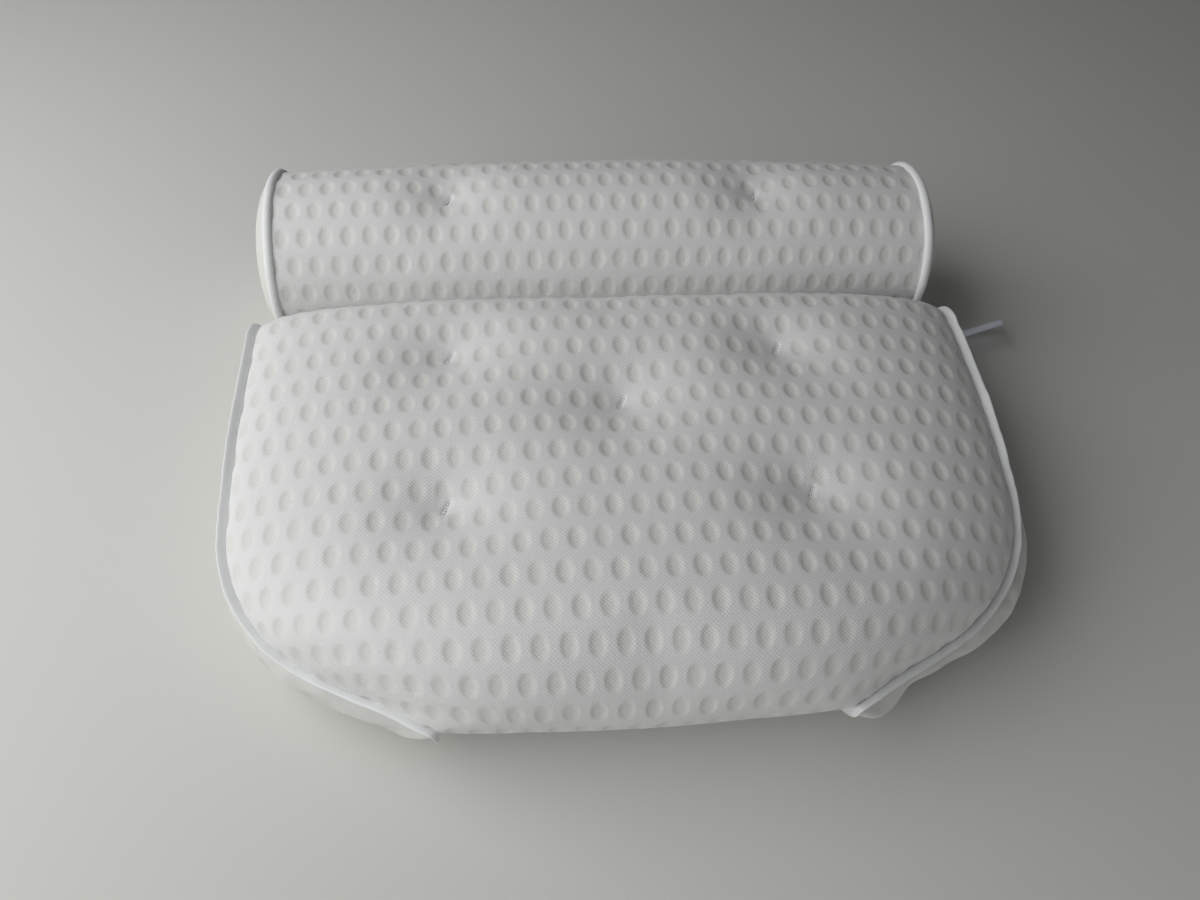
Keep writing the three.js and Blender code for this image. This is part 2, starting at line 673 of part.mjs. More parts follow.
// Suction cup: soft plastic, with a neck and a head that snaps into its button
function suctionCup(tuft) {
  const neck = NECK_DIAMETER / 2;
  const inner = CUP_RADIUS - CUP_RIM_WIDTH;
  const crown = CUP_HOLLOW_DEPTH + CUP_WALL_THICKNESS;
  const dome = (radius, foot, height) =>
    range(CUP_STEPS).slice(1).map((f) => [
      radius * Math.sin(f * HALF_TURN),
      foot + (height - foot) * Math.cos(f * HALF_TURN),
    ]);
  return turned(
    [
      [0, CUP_HOLLOW_DEPTH],
      ...dome(inner, 0, CUP_HOLLOW_DEPTH),
      [CUP_RADIUS, 0],
      ...dome(CUP_RADIUS, CUP_LIP_THICKNESS, crown).reverse(),
      [neck + CUP_WALL_THICKNESS, crown],
      [neck, crown + CUP_WALL_THICKNESS],
      [neck, headFoot],
      [HEAD_DIAMETER / 2, headFoot],
      [HEAD_DIAMETER / 2, headFoot + HEAD_HEIGHT / 2],
      [neck, headFoot + HEAD_HEIGHT],
      [0, headFoot + HEAD_HEIGHT],
    ],
    tuft,
    CUP_SIDES,
  );
}

// Button: a moulded cap on the inside of the cloth, open below for the cup's head
function cupButton(tuft) {
  const room = HEAD_DIAMETER / 2 + BORE_GAP;
  const shelf = flangeFoot + BUTTON_WALL_THICKNESS;
  return turned(
    [
      [0, buttonTop - BUTTON_WALL_THICKNESS],
      [room, buttonTop - BUTTON_WALL_THICKNESS],
      [room, shelf],
      [neckBore, shelf],
      [neckBore, flangeFoot],
      [FLANGE_DIAMETER / 2, flangeFoot],
      [FLANGE_DIAMETER / 2, shelf],
      [buttonRadius, shelf],
      [buttonRadius, buttonTop - BUTTON_WALL_THICKNESS],
      [buttonRadius - BUTTON_WALL_THICKNESS, buttonTop],
      [0, buttonTop],
    ],
    tuft,
    BUTTON_SIDES,
  );
}

// Tufting thread: from a stitched knot in the dip down to a knot on the button
function tuftTie(tuft, dipZ) {
  const shaft = THREAD_DIAMETER / 2;
  const foot = dipZ + 2 * GAP;
  const rim = foot + (TACK_DIAMETER / 2) * TACK_SLOPE;
  return turned(
    [
      [0, knotFoot],
      [KNOT_DIAMETER / 2, knotFoot],
      [KNOT_DIAMETER / 2, knotFoot + KNOT_HEIGHT],
      [shaft, knotFoot + KNOT_HEIGHT],
      [shaft, foot],
      [TACK_DIAMETER / 2, rim],
      [TACK_DIAMETER / 2, rim + TACK_HEIGHT / 2],
      [TACK_DIAMETER / 4, rim + TACK_HEIGHT],
      [0, rim + TACK_HEIGHT],
    ],
    tuft,
    THREAD_SIDES,
  );
}

// Hook: a flat moulded J with a slotted eye, drawn with its bar at the origin
function dryingHook() {
  const slotWidth = LOOP_WIDTH + 2 * EYE_GAP;
  const eyeHalf = slotWidth / 2 + EYE_WALL_WIDTH;
  const eyeEnd = EYE_BAR_WIDTH / 2 + EYE_SLOT_WIDTH + EYE_BAR_WIDTH;
  const bendX = HOOK_LENGTH - HOOK_BEND_RADIUS - HOOK_BAR_WIDTH / 2;
  const tipX = bendX - HOOK_RETURN_LENGTH;
  const half = HOOK_BAR_WIDTH / 2;
  const outer = HOOK_BEND_RADIUS + half;
  const inner = HOOK_BEND_RADIUS - half;
  const shape = new THREE.Shape();
  shape.moveTo(-EYE_BAR_WIDTH / 2, -eyeHalf);
  shape.lineTo(eyeEnd - half, -eyeHalf);
  shape.quadraticCurveTo(eyeEnd, -eyeHalf, eyeEnd + half, -half);
  shape.lineTo(bendX, -half);
  shape.absarc(bendX, -half - inner, inner, HALF_TURN, -HALF_TURN, true);
  shape.lineTo(tipX, -half - 2 * inner);
  shape.absarc(tipX, -2 * half - 2 * inner, half, HALF_TURN, 3 * HALF_TURN, false);
  shape.lineTo(bendX, -half - inner - outer);
  shape.absarc(bendX, -half - inner, outer, -HALF_TURN, HALF_TURN, false);
  shape.lineTo(eyeEnd + half, half);
  shape.quadraticCurveTo(eyeEnd, eyeHalf, eyeEnd - half, eyeHalf);
  shape.lineTo(-EYE_BAR_WIDTH / 2, eyeHalf);
  shape.closePath();
  const slot = new THREE.Path();
  slot.moveTo(EYE_BAR_WIDTH / 2, -slotWidth / 2);
  slot.lineTo(EYE_BAR_WIDTH / 2, slotWidth / 2);
  slot.lineTo(EYE_BAR_WIDTH / 2 + EYE_SLOT_WIDTH, slotWidth / 2);
  slot.lineTo(EYE_BAR_WIDTH / 2 + EYE_SLOT_WIDTH, -slotWidth / 2);
  slot.closePath();
  shape.holes.push(slot);
  return new THREE.ExtrudeGeometry(shape, {
    depth: HOOK_THICKNESS - 2 * HOOK_BEVEL_SIZE,
    bevelThickness: HOOK_BEVEL_SIZE,
    bevelSize: HOOK_BEVEL_SIZE,
    bevelOffset: -HOOK_BEVEL_SIZE,
    bevelSegments: 1,
    curveSegments: HOOK_STEPS,
  }).translate(0, 0, HOOK_BEVEL_SIZE - HOOK_THICKNESS / 2);
}

// Hanging loop: webbing from the seam, round the hook's bar and back to the seam
function hangingLoop() {
  const room = Math.hypot(EYE_BAR_WIDTH, HOOK_THICKNESS) / 2 + GAP;
  const outer = room + LOOP_STRAP_THICKNESS;
  const shape = new THREE.Shape();
  shape.moveTo(-LOOP_LENGTH, LOOP_STRAP_THICKNESS + GAP / 2);
  shape.lineTo(-LOOP_LENGTH, -LOOP_STRAP_THICKNESS - GAP / 2);
  shape.absarc(0, 0, outer, -LOOP_WRAP, LOOP_WRAP, false);
  shape.lineTo(-LOOP_LENGTH, LOOP_STRAP_THICKNESS + GAP / 2);
  const hole = new THREE.Path();
  hole.absarc(0, 0, room, -LOOP_WRAP, LOOP_WRAP, false);
  hole.lineTo(-LOOP_LENGTH + LOOP_STRAP_THICKNESS * 2, GAP / 2);
  hole.lineTo(-LOOP_LENGTH + LOOP_STRAP_THICKNESS * 2, -GAP / 2);
  hole.closePath();
  shape.holes.push(hole);
  return new THREE.ExtrudeGeometry(shape, {
    depth: LOOP_WIDTH,
    bevelEnabled: false,
    curveSegments: LOOP_STEPS,
  })
    .translate(0, 0, -LOOP_WIDTH / 2)
    .rotateX(-HALF_TURN);
}

// Body, from the padding out
add("body_filling", bodyFilling(), padding);
add("body_cover", bodyCover(), airMesh);
add("body_back_panel", bodyBackPanel(), plainCloth);
for (const [side, hand] of [[-1, "left"], [1, "right"]]) {
  add(`body_${hand}_end_panel`, bodyEndPanel(side), plainCloth);
  add(`body_${hand}_piping`, tube(seamPoints(side), PIPING_DIAMETER / 2, false), boundSeam);
}

// Head roll and the web that carries it
add("roll_filling", rollFilling(), padding);
add("roll_cover", rollCover(), airMesh);
for (const [side, hand] of [[-1, "left"], [1, "right"]]) {
  add(`roll_${hand}_end_cap`, rollEndCap(side), plainCloth);
  add(`roll_${hand}_piping`, rollPiping(side), boundSeam);
}
add("hinge_web", hingeWeb(), plainCloth);

// Tufts, each with its thread, button and suction cup
for (const tuft of bodyTufts) {
  const { z } = bodyPoint((2 * tuft.x) / BODY_WIDTH, noseArc + tuft.y - noseY, 0);
  add(`tuft_tie_${tuft.name}`, tuftTie(tuft, z), thread);
}
for (const tuft of rollTufts) {
  const { z } = rollPoint(tuft.x, 2 * HALF_TURN, 0);
  add(`tuft_tie_${tuft.name}`, tuftTie(tuft, z), thread);
}
for (const tuft of [...bodyTufts, ...rollTufts]) {
  add(`cup_button_${tuft.name}`, cupButton(tuft), hardPlastic);
  add(`suction_cup_${tuft.name}`, suctionCup(tuft), softPlastic);
}

// Loop and hook, on the right back seam, with the hook's plate leaning back
const seamFoot = new THREE.Vector3(BODY_WIDTH / 2, BACK_FACE_Y, HOOK_HEIGHT);
const hang = new THREE.Group();
const out = PIPING_DIAMETER / 2 + GAP + LOOP_LENGTH;
hang.rotation.set(0, 0, HOOK_TURN);
hang.position.set(
  seamFoot.x + out * Math.cos(HOOK_TURN),
  seamFoot.y + out * Math.sin(HOOK_TURN),
  seamFoot.z,
);
const plate = new THREE.Group();
plate.rotation.x = HOOK_LEAN;
hang.add(plate);
part.add(hang);
add("drying_hook", dryingHook(), hardPlastic, plate);
add("hanging_loop", hangingLoop(), boundSeam, plate);

export default part;
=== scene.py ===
import json
import math

import bmesh
import bpy
import numpy as np
from mathutils import Matrix, Vector, noise


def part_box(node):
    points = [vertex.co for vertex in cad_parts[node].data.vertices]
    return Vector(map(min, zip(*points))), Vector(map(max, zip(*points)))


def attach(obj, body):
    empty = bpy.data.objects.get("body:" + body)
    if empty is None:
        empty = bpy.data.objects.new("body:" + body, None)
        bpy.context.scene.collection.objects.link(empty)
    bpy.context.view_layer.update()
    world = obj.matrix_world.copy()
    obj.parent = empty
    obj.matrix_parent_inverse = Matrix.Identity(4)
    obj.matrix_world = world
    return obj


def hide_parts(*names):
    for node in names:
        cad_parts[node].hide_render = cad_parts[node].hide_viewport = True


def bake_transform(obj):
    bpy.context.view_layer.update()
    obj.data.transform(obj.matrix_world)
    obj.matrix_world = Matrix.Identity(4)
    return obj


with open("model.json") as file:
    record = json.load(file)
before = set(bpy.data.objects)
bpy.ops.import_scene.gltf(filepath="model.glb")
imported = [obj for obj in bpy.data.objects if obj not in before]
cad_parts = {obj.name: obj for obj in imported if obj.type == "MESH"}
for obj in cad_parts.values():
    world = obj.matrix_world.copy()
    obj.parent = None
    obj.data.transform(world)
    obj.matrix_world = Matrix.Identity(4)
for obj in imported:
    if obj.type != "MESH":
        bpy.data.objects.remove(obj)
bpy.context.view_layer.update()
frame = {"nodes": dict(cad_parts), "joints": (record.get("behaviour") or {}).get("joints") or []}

# The camera stands close over the front of the pillow and looks down on it, turned a
# little to the right and rolled, so that the nose is near and the head roll is far.
CAMERA_PLACE = Vector((-0.0520, -0.2745, 0.4468))
CAMERA_YAW = math.radians(8.18)
CAMERA_PITCH = math.radians(54.33)
CAMERA_ROLL = math.radians(4.54)
SENSOR = 36
LENS = 27.36
NEAREST = 0.01

scene = bpy.context.scene
scene.view_settings.view_transform = "Standard"
camera = bpy.data.objects.new("camera", bpy.data.cameras.new("camera"))
camera.data.sensor_width = SENSOR
camera.data.sensor_fit = "HORIZONTAL"
camera.data.lens = LENS
camera.data.clip_start = NEAREST
camera.matrix_world = (
    Matrix.Translation(CAMERA_PLACE)
    @ Matrix.Rotation(-CAMERA_YAW, 4, "Z")
    @ Matrix.Rotation(math.pi / 2 - CAMERA_PITCH, 4, "X")
    @ Matrix.Rotation(CAMERA_ROLL, 4, "Z")
)
scene.collection.objects.link(camera)
scene.camera = camera

# The studio is a plain pale floor with one broad soft lamp low at the left, as from a
# window, and a weak one in front, so the right of the pillow lies in shade.
FLOOR_SIZE = 14.0
FLOOR_TONES = ((224, 225, 220), (217, 218, 213))
WINDOW_LAMP = {"place": Vector((-0.70, -0.08, 0.65)), "size": (1.2, 0.9), "power": 8.0}
FRONT_LAMP = {"place": Vector((0.30, -0.90, 0.35)), "size": (0.9, 0.5), "power": 1.15}
LAMP_AIM = Vector((0.0, -0.02, 0.0))
SKY = (0.93, 0.95, 1.0)
SKY_STRENGTH = 0.012
BACKDROP = (0.80, 0.80, 0.79)


def tone(red, green, blue):
    """A colour written as 0 to 255 on a screen, as Blender's linear light."""
    linear = [((c / 255 + 0.055) / 1.055) ** 2.4 for c in (red, green, blue)]
    return (*linear, 1.0)


def add_node(tree, kind, inputs=None, **settings):
    """Adds a shader node. Inputs are numbers, colours or the sockets that feed them."""
    node = tree.nodes.new(kind)
    for key, value in settings.items():
        setattr(node, key, value)
    for key, value in (inputs or {}).items():
        if isinstance(value, bpy.types.NodeSocket):
            tree.links.new(value, node.inputs[key])
        else:
            node.inputs[key].default_value = value
    return node


def start_material(name, tones, roughness, blotch):
    """A material in two close tones that change in soft blotches of a given size."""
    material = bpy.data.materials.new(name)
    material.use_nodes = True
    tree = material.node_tree
    shader = tree.nodes["Principled BSDF"]
    shader.inputs["Roughness"].default_value = roughness
    place = add_node(tree, "ShaderNodeTexCoord")
    cloud = add_node(
        tree,
        "ShaderNodeTexNoise",
        {"Vector": place.outputs["Object"], "Scale": 1 / blotch, "Detail": 4.0},
    )
    mix = add_node(
        tree,
        "ShaderNodeMix",
        {"Factor": cloud.outputs["Fac"]},
        data_type="RGBA",
    )
    mix.inputs[6].default_value = tone(*tones[0])
    mix.inputs[7].default_value = tone(*tones[1])
    tree.links.new(mix.outputs[2], shader.inputs["Base Color"])
    return material, tree, shader, place


def link_mesh(name, bm):
    """A new object with a finished mesh, smooth all over."""
    mesh = bpy.data.meshes.new(name)
    for face in bm.faces:
        face.smooth = True
    bm.to_mesh(mesh)
    bm.free()
    obj = bpy.data.objects.new(name, mesh)
    scene.collection.objects.link(obj)
    return obj


bm = bmesh.new()
bmesh.ops.create_grid(bm, x_segments=1, y_segments=1, size=FLOOR_SIZE / 2)
floor = link_mesh("floor", bm)
floor_paint = start_material("floor_paint", FLOOR_TONES, roughness=0.75, blotch=0.9)[0]
floor.data.materials.append(floor_paint)

for name, lamp_plan in {"window_lamp": WINDOW_LAMP, "front_lamp": FRONT_LAMP}.items():
    lamp = bpy.data.objects.new(name, bpy.data.lights.new(name, "AREA"))
    lamp.data.shape = "RECTANGLE"
    lamp.data.size, lamp.data.size_y = lamp_plan["size"]
    lamp.data.energy = lamp_plan["power"]
    lamp.matrix_world = (
        Matrix.Translation(lamp_plan["place"])
        @ (LAMP_AIM - lamp_plan["place"]).to_track_quat("-Z", "Y").to_matrix().to_4x4()
    )
    scene.collection.objects.link(lamp)

world = bpy.data.worlds.new("studio")
world.use_nodes = True
scene.world = world
sky_tree = world.node_tree
even_light = sky_tree.nodes["Background"]
even_light.inputs["Color"].default_value = (*SKY, 1.0)
even_light.inputs["Strength"].default_value = SKY_STRENGTH
backdrop = add_node(sky_tree, "ShaderNodeBackground", {"Color": (*BACKDROP, 1.0)})
rays = add_node(sky_tree, "ShaderNodeLightPath")
clear = add_node(
    sky_tree,
    "ShaderNodeMath",
    {0: rays.outputs["Is Camera Ray"], 1: rays.outputs["Is Transmission Ray"]},
    operation="MAXIMUM",
)
seen = add_node(
    sky_tree,
    "ShaderNodeMath",
    {0: clear.outputs[0], 1: rays.outputs["Is Glossy Ray"]},
    operation="MAXIMUM",
)
choose = add_node(
    sky_tree,
    "ShaderNodeMixShader",
    {
        0: seen.outputs[0],
        1: even_light.outputs["Background"],
        2: backdrop.outputs["Background"],
    },
)
sky_tree.links.new(choose.outputs[0], sky_tree.nodes["World Output"].inputs["Surface"])

# The padding of the body is a block of springy white fibre, crowned like the cover that
# goes over it, with a hollow under each tuft for the button. It is packed in from behind.
PADDING_TONES = ((243, 241, 232), (232, 229, 218))
PADDING_VOXEL = 0.004
PADDING_SHRINK = 0.0012
FIBRE_LUMP = 0.014
FIBRE_DEPTH = 0.0011
FIBRE_SCALE = 900.0
FIBRE_RELIEF = 0.0006
WELD = 1e-5


def points_of(mesh):
    """The points of a mesh as rows of x, y and z."""
    points = np.empty(len(mesh.vertices) * 3)
    mesh.vertices.foreach_get("co", points)
    return points.reshape(-1, 3)


def normals_of(mesh):
    normals = np.empty(len(mesh.vertices) * 3)
    mesh.vertex_normals.foreach_get("vector", normals)
    return normals.reshape(-1, 3)


def move_points(mesh, points):
    mesh.vertices.foreach_set("co", np.asarray(points, np.float32).ravel())
    mesh.update()


def apply_modifiers(obj):
    """Bakes the modifiers of a piece into its mesh."""
    depsgraph = bpy.context.evaluated_depsgraph_get()
    baked = bpy.data.meshes.new_from_object(obj.evaluated_get(depsgraph))
    old = obj.data
    obj.modifiers.clear()
    obj.data = baked
    bpy.data.meshes.remove(old)
    baked.name = obj.name


def add_relief(tree, shader, height, depth, strength):
    """Lights a surface as if a height from 0 to 1 stood out from it by a depth."""
    bump = add_node(
        tree,
        "ShaderNodeBump",
        {"Strength": strength, "Distance": depth, "Height": height},
    )
    tree.links.new(bump.outputs["Normal"], shader.inputs["Normal"])


padding_finish, padding_tree, padding_shader, padding_place = start_material(
    "white_fibre", PADDING_TONES, roughness=0.95, blotch=0.02
)
fibres = add_node(
    padding_tree,
    "ShaderNodeTexNoise",
    {
        "Vector": padding_place.outputs["Object"],
        "Scale": FIBRE_SCALE,
        "Detail": 6.0,
        "Distortion": 2.0,
    },
)
add_relief(padding_tree, padding_shader, fibres.outputs["Fac"], FIBRE_RELIEF, strength=0.7)


def pack_padding(name, node, body):
    """Padding in the space of its CAD node: rounded off, lumpy, and just clear of the cover."""
    bm = bmesh.new()
    bm.from_mesh(frame["nodes"][node].data)
    bmesh.ops.remove_doubles(bm, verts=bm.verts, dist=WELD)
    obj = link_mesh(name, bm)
    remesh = obj.modifiers.new("remesh", "REMESH")
    remesh.mode = "VOXEL"
    remesh.voxel_size = PADDING_VOXEL
    remesh.use_smooth_shade = True
    soften = obj.modifiers.new("soften", "SMOOTH")
    soften.iterations = 4
    apply_modifiers(obj)
    points = points_of(obj.data)
    lumps = np.array([noise.noise(Vector(p) / FIBRE_LUMP) for p in points])
    inward = PADDING_SHRINK + FIBRE_DEPTH * (0.5 + 0.5 * lumps)
    move_points(obj.data, points - normals_of(obj.data) * inward[:, None])
    obj.data.materials.clear()
    obj.data.materials.append(padding_finish)
    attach(obj, body)
    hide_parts(node)


pack_padding("body_padding", "body_filling", "body")

# The body cover is one panel of knitted air mesh with pressed oval dimples. It comes from
# under the nose, over the top and down the back face, and is sewn in along both sides.
# The padding swells it between the tufts, which draw it down in five dips.
BODY_WIDTH = 0.392
BODY_LENGTH = 0.238
BODY_THICKNESS = 0.080
BACK_FACE_Y = 0.097
STAND_OFF = 0.012
BACK_EDGE_RADIUS = 0.024
BACK_HEM = 0.005
NOSE_TUCK = math.radians(80)
SEAM_HEIGHT = 0.069
SEAM_DROP_LENGTH = 0.150
SEAM_DROP_START = 0.025
SEAM_NOSE_ANGLE = math.radians(13)
SEAM_NOSE_PINCH = 0.002
SEAM_NOSE_TAPER = 0.008
CORNER_RADIUS = 0.100
CORNER_PINCH = 0.012
CORNER_PINCH_LATE = 2.5
CORNER_TOP_ANGLE = math.radians(36)
CROWN_POWER = 3
CROWN_ROUND = 0.5
CORNER_ROUND = 0.64
TUFT_DEPTH = 0.0082
TUFT_REACH = 0.041
TUFT_ROUND = 0.002
TUFT_LEAN = 0.032
TUFT_HOLD = 0.0045
TUFT_SMOOTH = 0.009
TUFT_BARE = 0.4 * TUFT_SMOOTH
STITCH_BAR = 0.0090
STITCH_FADE = (0.35 * STITCH_BAR, 0.55 * STITCH_BAR)
STITCH_TURN = math.radians(66)
STITCH_GROOVE = 0.0009
STITCH_GROOVE_WIDTH = 0.0010
COVER_COLUMNS = 98
COVER_ROWS = 96
ROW_SAMPLES = 161
IRON_STEPS = 400
IRON_RATE = 0.25
COVER_THICKNESS = 0.0032
COVER_SLACK = 0.004
COVER_GIVE = 0.003
DIMPLE_PITCH = 0.0121
DIMPLE_ROW = 0.0165
DIMPLE_WIDTH = 0.0077
DIMPLE_LENGTH = 0.0121
DIMPLE_DEPTH = 0.0007
DIMPLE_FLOOR = 3.2
DIMPLE_EDGE = 0.25
DIMPLE_UNEVEN = 0.14
DIMPLE_SHUFFLE = (12.9898, 78.233)
AIR_MESH_TONES = ((238, 239, 238), (231, 232, 231))
# The floors of the dimples are painted this darker tone: painted shade in the hollows.
DIMPLE_SHADE_TONE = (230, 230, 226)
KNIT_PITCH = 0.0014
KNIT_RELIEF = 0.00022
BIAS = math.radians(45)
WEAVE_DULL = 0.08
WEAVE_BRIGHT = 0.06
PADDING_PUSH = 4.0
SWELL_FRAMES = 20
COVER_EVEN = 6
QUARTER_TURN = math.pi / 2
TINY = 1e-9

NOSE_RADIUS = BODY_THICKNESS / 2
NOSE_Y = BACK_FACE_Y - BODY_LENGTH + NOSE_RADIUS
NOSE_Z = STAND_OFF + NOSE_RADIUS
TOP_Z = STAND_OFF + BODY_THICKNESS
BACK_EDGE_Y = BACK_FACE_Y - BACK_EDGE_RADIUS
NOSE_ARC = (QUARTER_TURN + NOSE_TUCK) * NOSE_RADIUS
TOP_RUN = BACK_EDGE_Y - NOSE_Y
EDGE_ARC = QUARTER_TURN * BACK_EDGE_RADIUS
FACE_DROP = BODY_THICKNESS - BACK_EDGE_RADIUS - BACK_HEM
CENTRE_LINE = NOSE_ARC + TOP_RUN + EDGE_ARC + FACE_DROP
CORNER_X = BODY_WIDTH / 2 - CORNER_RADIUS


def lerp(start, end, share):
    return start + (end - start) * share


def smoothstep(value, low, high):
    share = np.clip((value - low) / (high - low), 0.0, 1.0)
    return share * share * (3 - 2 * share)


def corner_pull(angle):
    """How far the seam is pulled in, so that it runs almost straight to the nose."""
    share = min(max(angle / QUARTER_TURN, 0.0), 1.0)
    most = CORNER_PINCH_LATE / (CORNER_PINCH_LATE + 1)
    height = most**CORNER_PINCH_LATE * (1 - most)
    return CORNER_PINCH * share**CORNER_PINCH_LATE * (1 - share) / height


CORNER_Y = (
    NOSE_Y
    - (NOSE_RADIUS - SEAM_NOSE_PINCH) * math.cos(SEAM_NOSE_ANGLE)
    + CORNER_RADIUS
)
SEAM_NOSE_Z = NOSE_Z - (NOSE_RADIUS - SEAM_NOSE_PINCH) * math.sin(SEAM_NOSE_ANGLE)


def seam_height(distance):
    return lerp(SEAM_HEIGHT, SEAM_NOSE_Z, float(smoothstep(distance, 0, SEAM_DROP_LENGTH)))


def corner_end(angle):
    """The seam on its way round the right front corner."""
    reach = CORNER_RADIUS - corner_pull(angle)
    return Vector(
        (
            CORNER_X + reach * math.cos(angle),
            CORNER_Y - reach * math.sin(angle),
            seam_height(SEAM_DROP_START - CORNER_Y + CORNER_RADIUS * angle),
        )
    )


def nose_point(x, angle, reach):
    return Vector((x, NOSE_Y - reach * math.cos(angle), NOSE_Z + reach * math.sin(angle)))


def body_row(length):
    """The row of mesh at a length along the centre line: its middle, and its right end on
    the seam."""
    if length <= NOSE_ARC:
        angle = length / NOSE_RADIUS - NOSE_TUCK
        middle = nose_point(0, angle, NOSE_RADIUS)
        if angle > SEAM_NOSE_ANGLE:
            share = (QUARTER_TURN - angle) / (QUARTER_TURN - SEAM_NOSE_ANGLE)
            return middle, corner_end(lerp(CORNER_TOP_ANGLE, QUARTER_TURN, share))
        under = (SEAM_NOSE_ANGLE - angle) / (SEAM_NOSE_ANGLE + NOSE_TUCK)
        seam_angle = lerp(-SEAM_NOSE_ANGLE, -NOSE_TUCK, under)
        seam_x = CORNER_X - SEAM_NOSE_TAPER * under
        return middle, nose_point(seam_x, seam_angle, NOSE_RADIUS - SEAM_NOSE_PINCH)
    if length <= NOSE_ARC + TOP_RUN:
        y = NOSE_Y + length - NOSE_ARC
        middle = Vector((0, y, TOP_Z))
        if y < CORNER_Y:
            return middle, corner_end(CORNER_TOP_ANGLE * (CORNER_Y - y) / (CORNER_Y - NOSE_Y))
        return middle, Vector((BODY_WIDTH / 2, y, seam_height(SEAM_DROP_START - y)))
    angle = (length - NOSE_ARC - TOP_RUN) / BACK_EDGE_RADIUS
    if angle <= QUARTER_TURN:
        y = BACK_EDGE_Y + BACK_EDGE_RADIUS * math.sin(angle)
        drop = BACK_EDGE_RADIUS * (1 - math.cos(angle))
        return Vector((0, y, TOP_Z - drop)), Vector((BODY_WIDTH / 2, y, SEAM_HEIGHT - drop))
    down = (length - NOSE_ARC - TOP_RUN - EDGE_ARC) / FACE_DROP
    hem = STAND_OFF + BACK_HEM
    middle_z = lerp(TOP_Z - BACK_EDGE_RADIUS, hem, down)
    end_z = lerp(SEAM_HEIGHT - BACK_EDGE_RADIUS, hem, down)
    return Vector((0, BACK_FACE_Y, middle_z)), Vector((BODY_WIDTH / 2, BACK_FACE_Y, end_z))


def node_middle(node):
    low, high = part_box(node)
    return (low + high) / 2


BODY_TUFTS = ("centre", "back_left", "front_left", "back_right", "front_right")
ROLL_TUFTS = ("roll_left", "roll_right")
tuft_place = {name: node_middle(f"tuft_tie_{name}") for name in BODY_TUFTS + ROLL_TUFTS}


def dip_place(name, lean):
    """Where a tuft dips: its thread leans from the button towards the camera."""
    place = tuft_place[name]
    return Vector((*place.xy.lerp(CAMERA_PLACE.xy, lean), place.z))


body_dips = {name: dip_place(name, TUFT_LEAN) for name in BODY_TUFTS}


def tuft_dip(away):
    """Depth of the cover at a distance from a tuft: a soft cone that runs out flat."""
    near = math.hypot(away, TUFT_ROUND) - TUFT_ROUND
    return TUFT_DEPTH * max(1 - near / TUFT_REACH, 0) ** 2


def draw_down(point):
    """Lowers a point of the cover into the dips of the tufts."""
    facing_up = float(smoothstep(point.z, NOSE_Z, TOP_Z))
    for dip in body_dips.values():
        point.z -= facing_up * tuft_dip((point.xy - dip.xy).length)
    return point


def crown_point(row, across):
    """A point of a row before the tufts are tied: across is 0 in the middle, 1 on the seam.
    The cover is flatter where the corner's seam is pulled in."""
    middle, end = row
    pull = corner_pull(math.atan2(CORNER_Y - end.y, end.x - CORNER_X)) / CORNER_PINCH
    crown = (1 - abs(across) ** CROWN_POWER) ** lerp(CROWN_ROUND, CORNER_ROUND, pull)
    point = end.lerp(middle, crown)
    point.x = across * end.x
    return point


def cloth_length(point, length):
    """How far along the flat cloth a point of a row lies: round the nose, then straight on."""
    if length > NOSE_ARC + TOP_RUN:
        return length
    if point.y > NOSE_Y:
        return NOSE_ARC + point.y - NOSE_Y
    angle = math.atan2(point.z - NOSE_Z, NOSE_Y - point.y)
    return (angle + NOSE_TUCK) * NOSE_RADIUS


def cover_row(length):
    """The points of one row, evenly spaced along the cloth from seam to seam, each with its
    place on the flat cloth."""
    row = body_row(length)
    shares = np.linspace(0, 1, ROW_SAMPLES)
    half = [crown_point(row, share) for share in shares]
    steps = np.array([(b - a).length for a, b in zip(half, half[1:])])
    drift = np.diff([cloth_length(point, length) for point in half])
    sideways = np.sqrt(np.clip(steps**2 - drift**2, 0.0, None))
    run = np.concatenate([[0.0], np.cumsum(steps)])
    aside = np.concatenate([[0.0], np.cumsum(sideways)])
    line = []
    for place in np.linspace(-run[-1], run[-1], COVER_COLUMNS + 1):
        across = math.copysign(float(np.interp(abs(place), run, shares)), place)
        point = crown_point(row, across)
        flat_across = math.copysign(float(np.interp(abs(place), run, aside)), place)
        flat = (flat_across, cloth_length(point, length))
        line.append((draw_down(point), flat))
    return line


def ironed(flat, solid):
    """Nudges the flat places of a grid of cloth until its threads are as long as on the
    pillow, so that the pattern keeps its size at the corners."""
    rows, columns = flat.shape[:2]
    for _ in range(IRON_STEPS):
        nudge = np.zeros_like(flat)
        for down, right in ((0, 1), (1, 0), (1, 1), (1, -1)):
            here = slice(0, rows - down), slice(max(-right, 0), columns - max(right, 0))
            there = slice(down, rows), slice(max(right, 0), columns - max(-right, 0))
            length = np.linalg.norm(solid[there] - solid[here], axis=2, keepdims=True)
            thread = flat[there] - flat[here]
            cut_length = np.linalg.norm(thread, axis=2, keepdims=True)
            spare = 1 - length / np.maximum(cut_length, TINY)
            nudge[here] += spare * thread / 2
            nudge[there] -= spare * thread / 2
        flat = flat + IRON_RATE * nudge
    return flat


def add_sheet(bm, across, along, place, flat):
    """Adds a grid of cloth to a mesh. For u and v from 0 to 1, place gives each point and
    flat its place on the cut cloth, which the UV map keeps in metres."""
    grid = bmesh.ops.create_grid(bm, x_segments=across, y_segments=along, size=0.5)["verts"]
    uv = bm.loops.layers.uv.verify()
    cut = {}
    for vert in grid:
        u, v = vert.co.x + 0.5, vert.co.y + 0.5
        vert.co = place(u, v)
        cut[vert] = flat(u, v)
    for face in {face for vert in grid for face in vert.link_faces}:
        for loop in face.loops:
            loop[uv].uv = cut[loop.vert]
    return grid


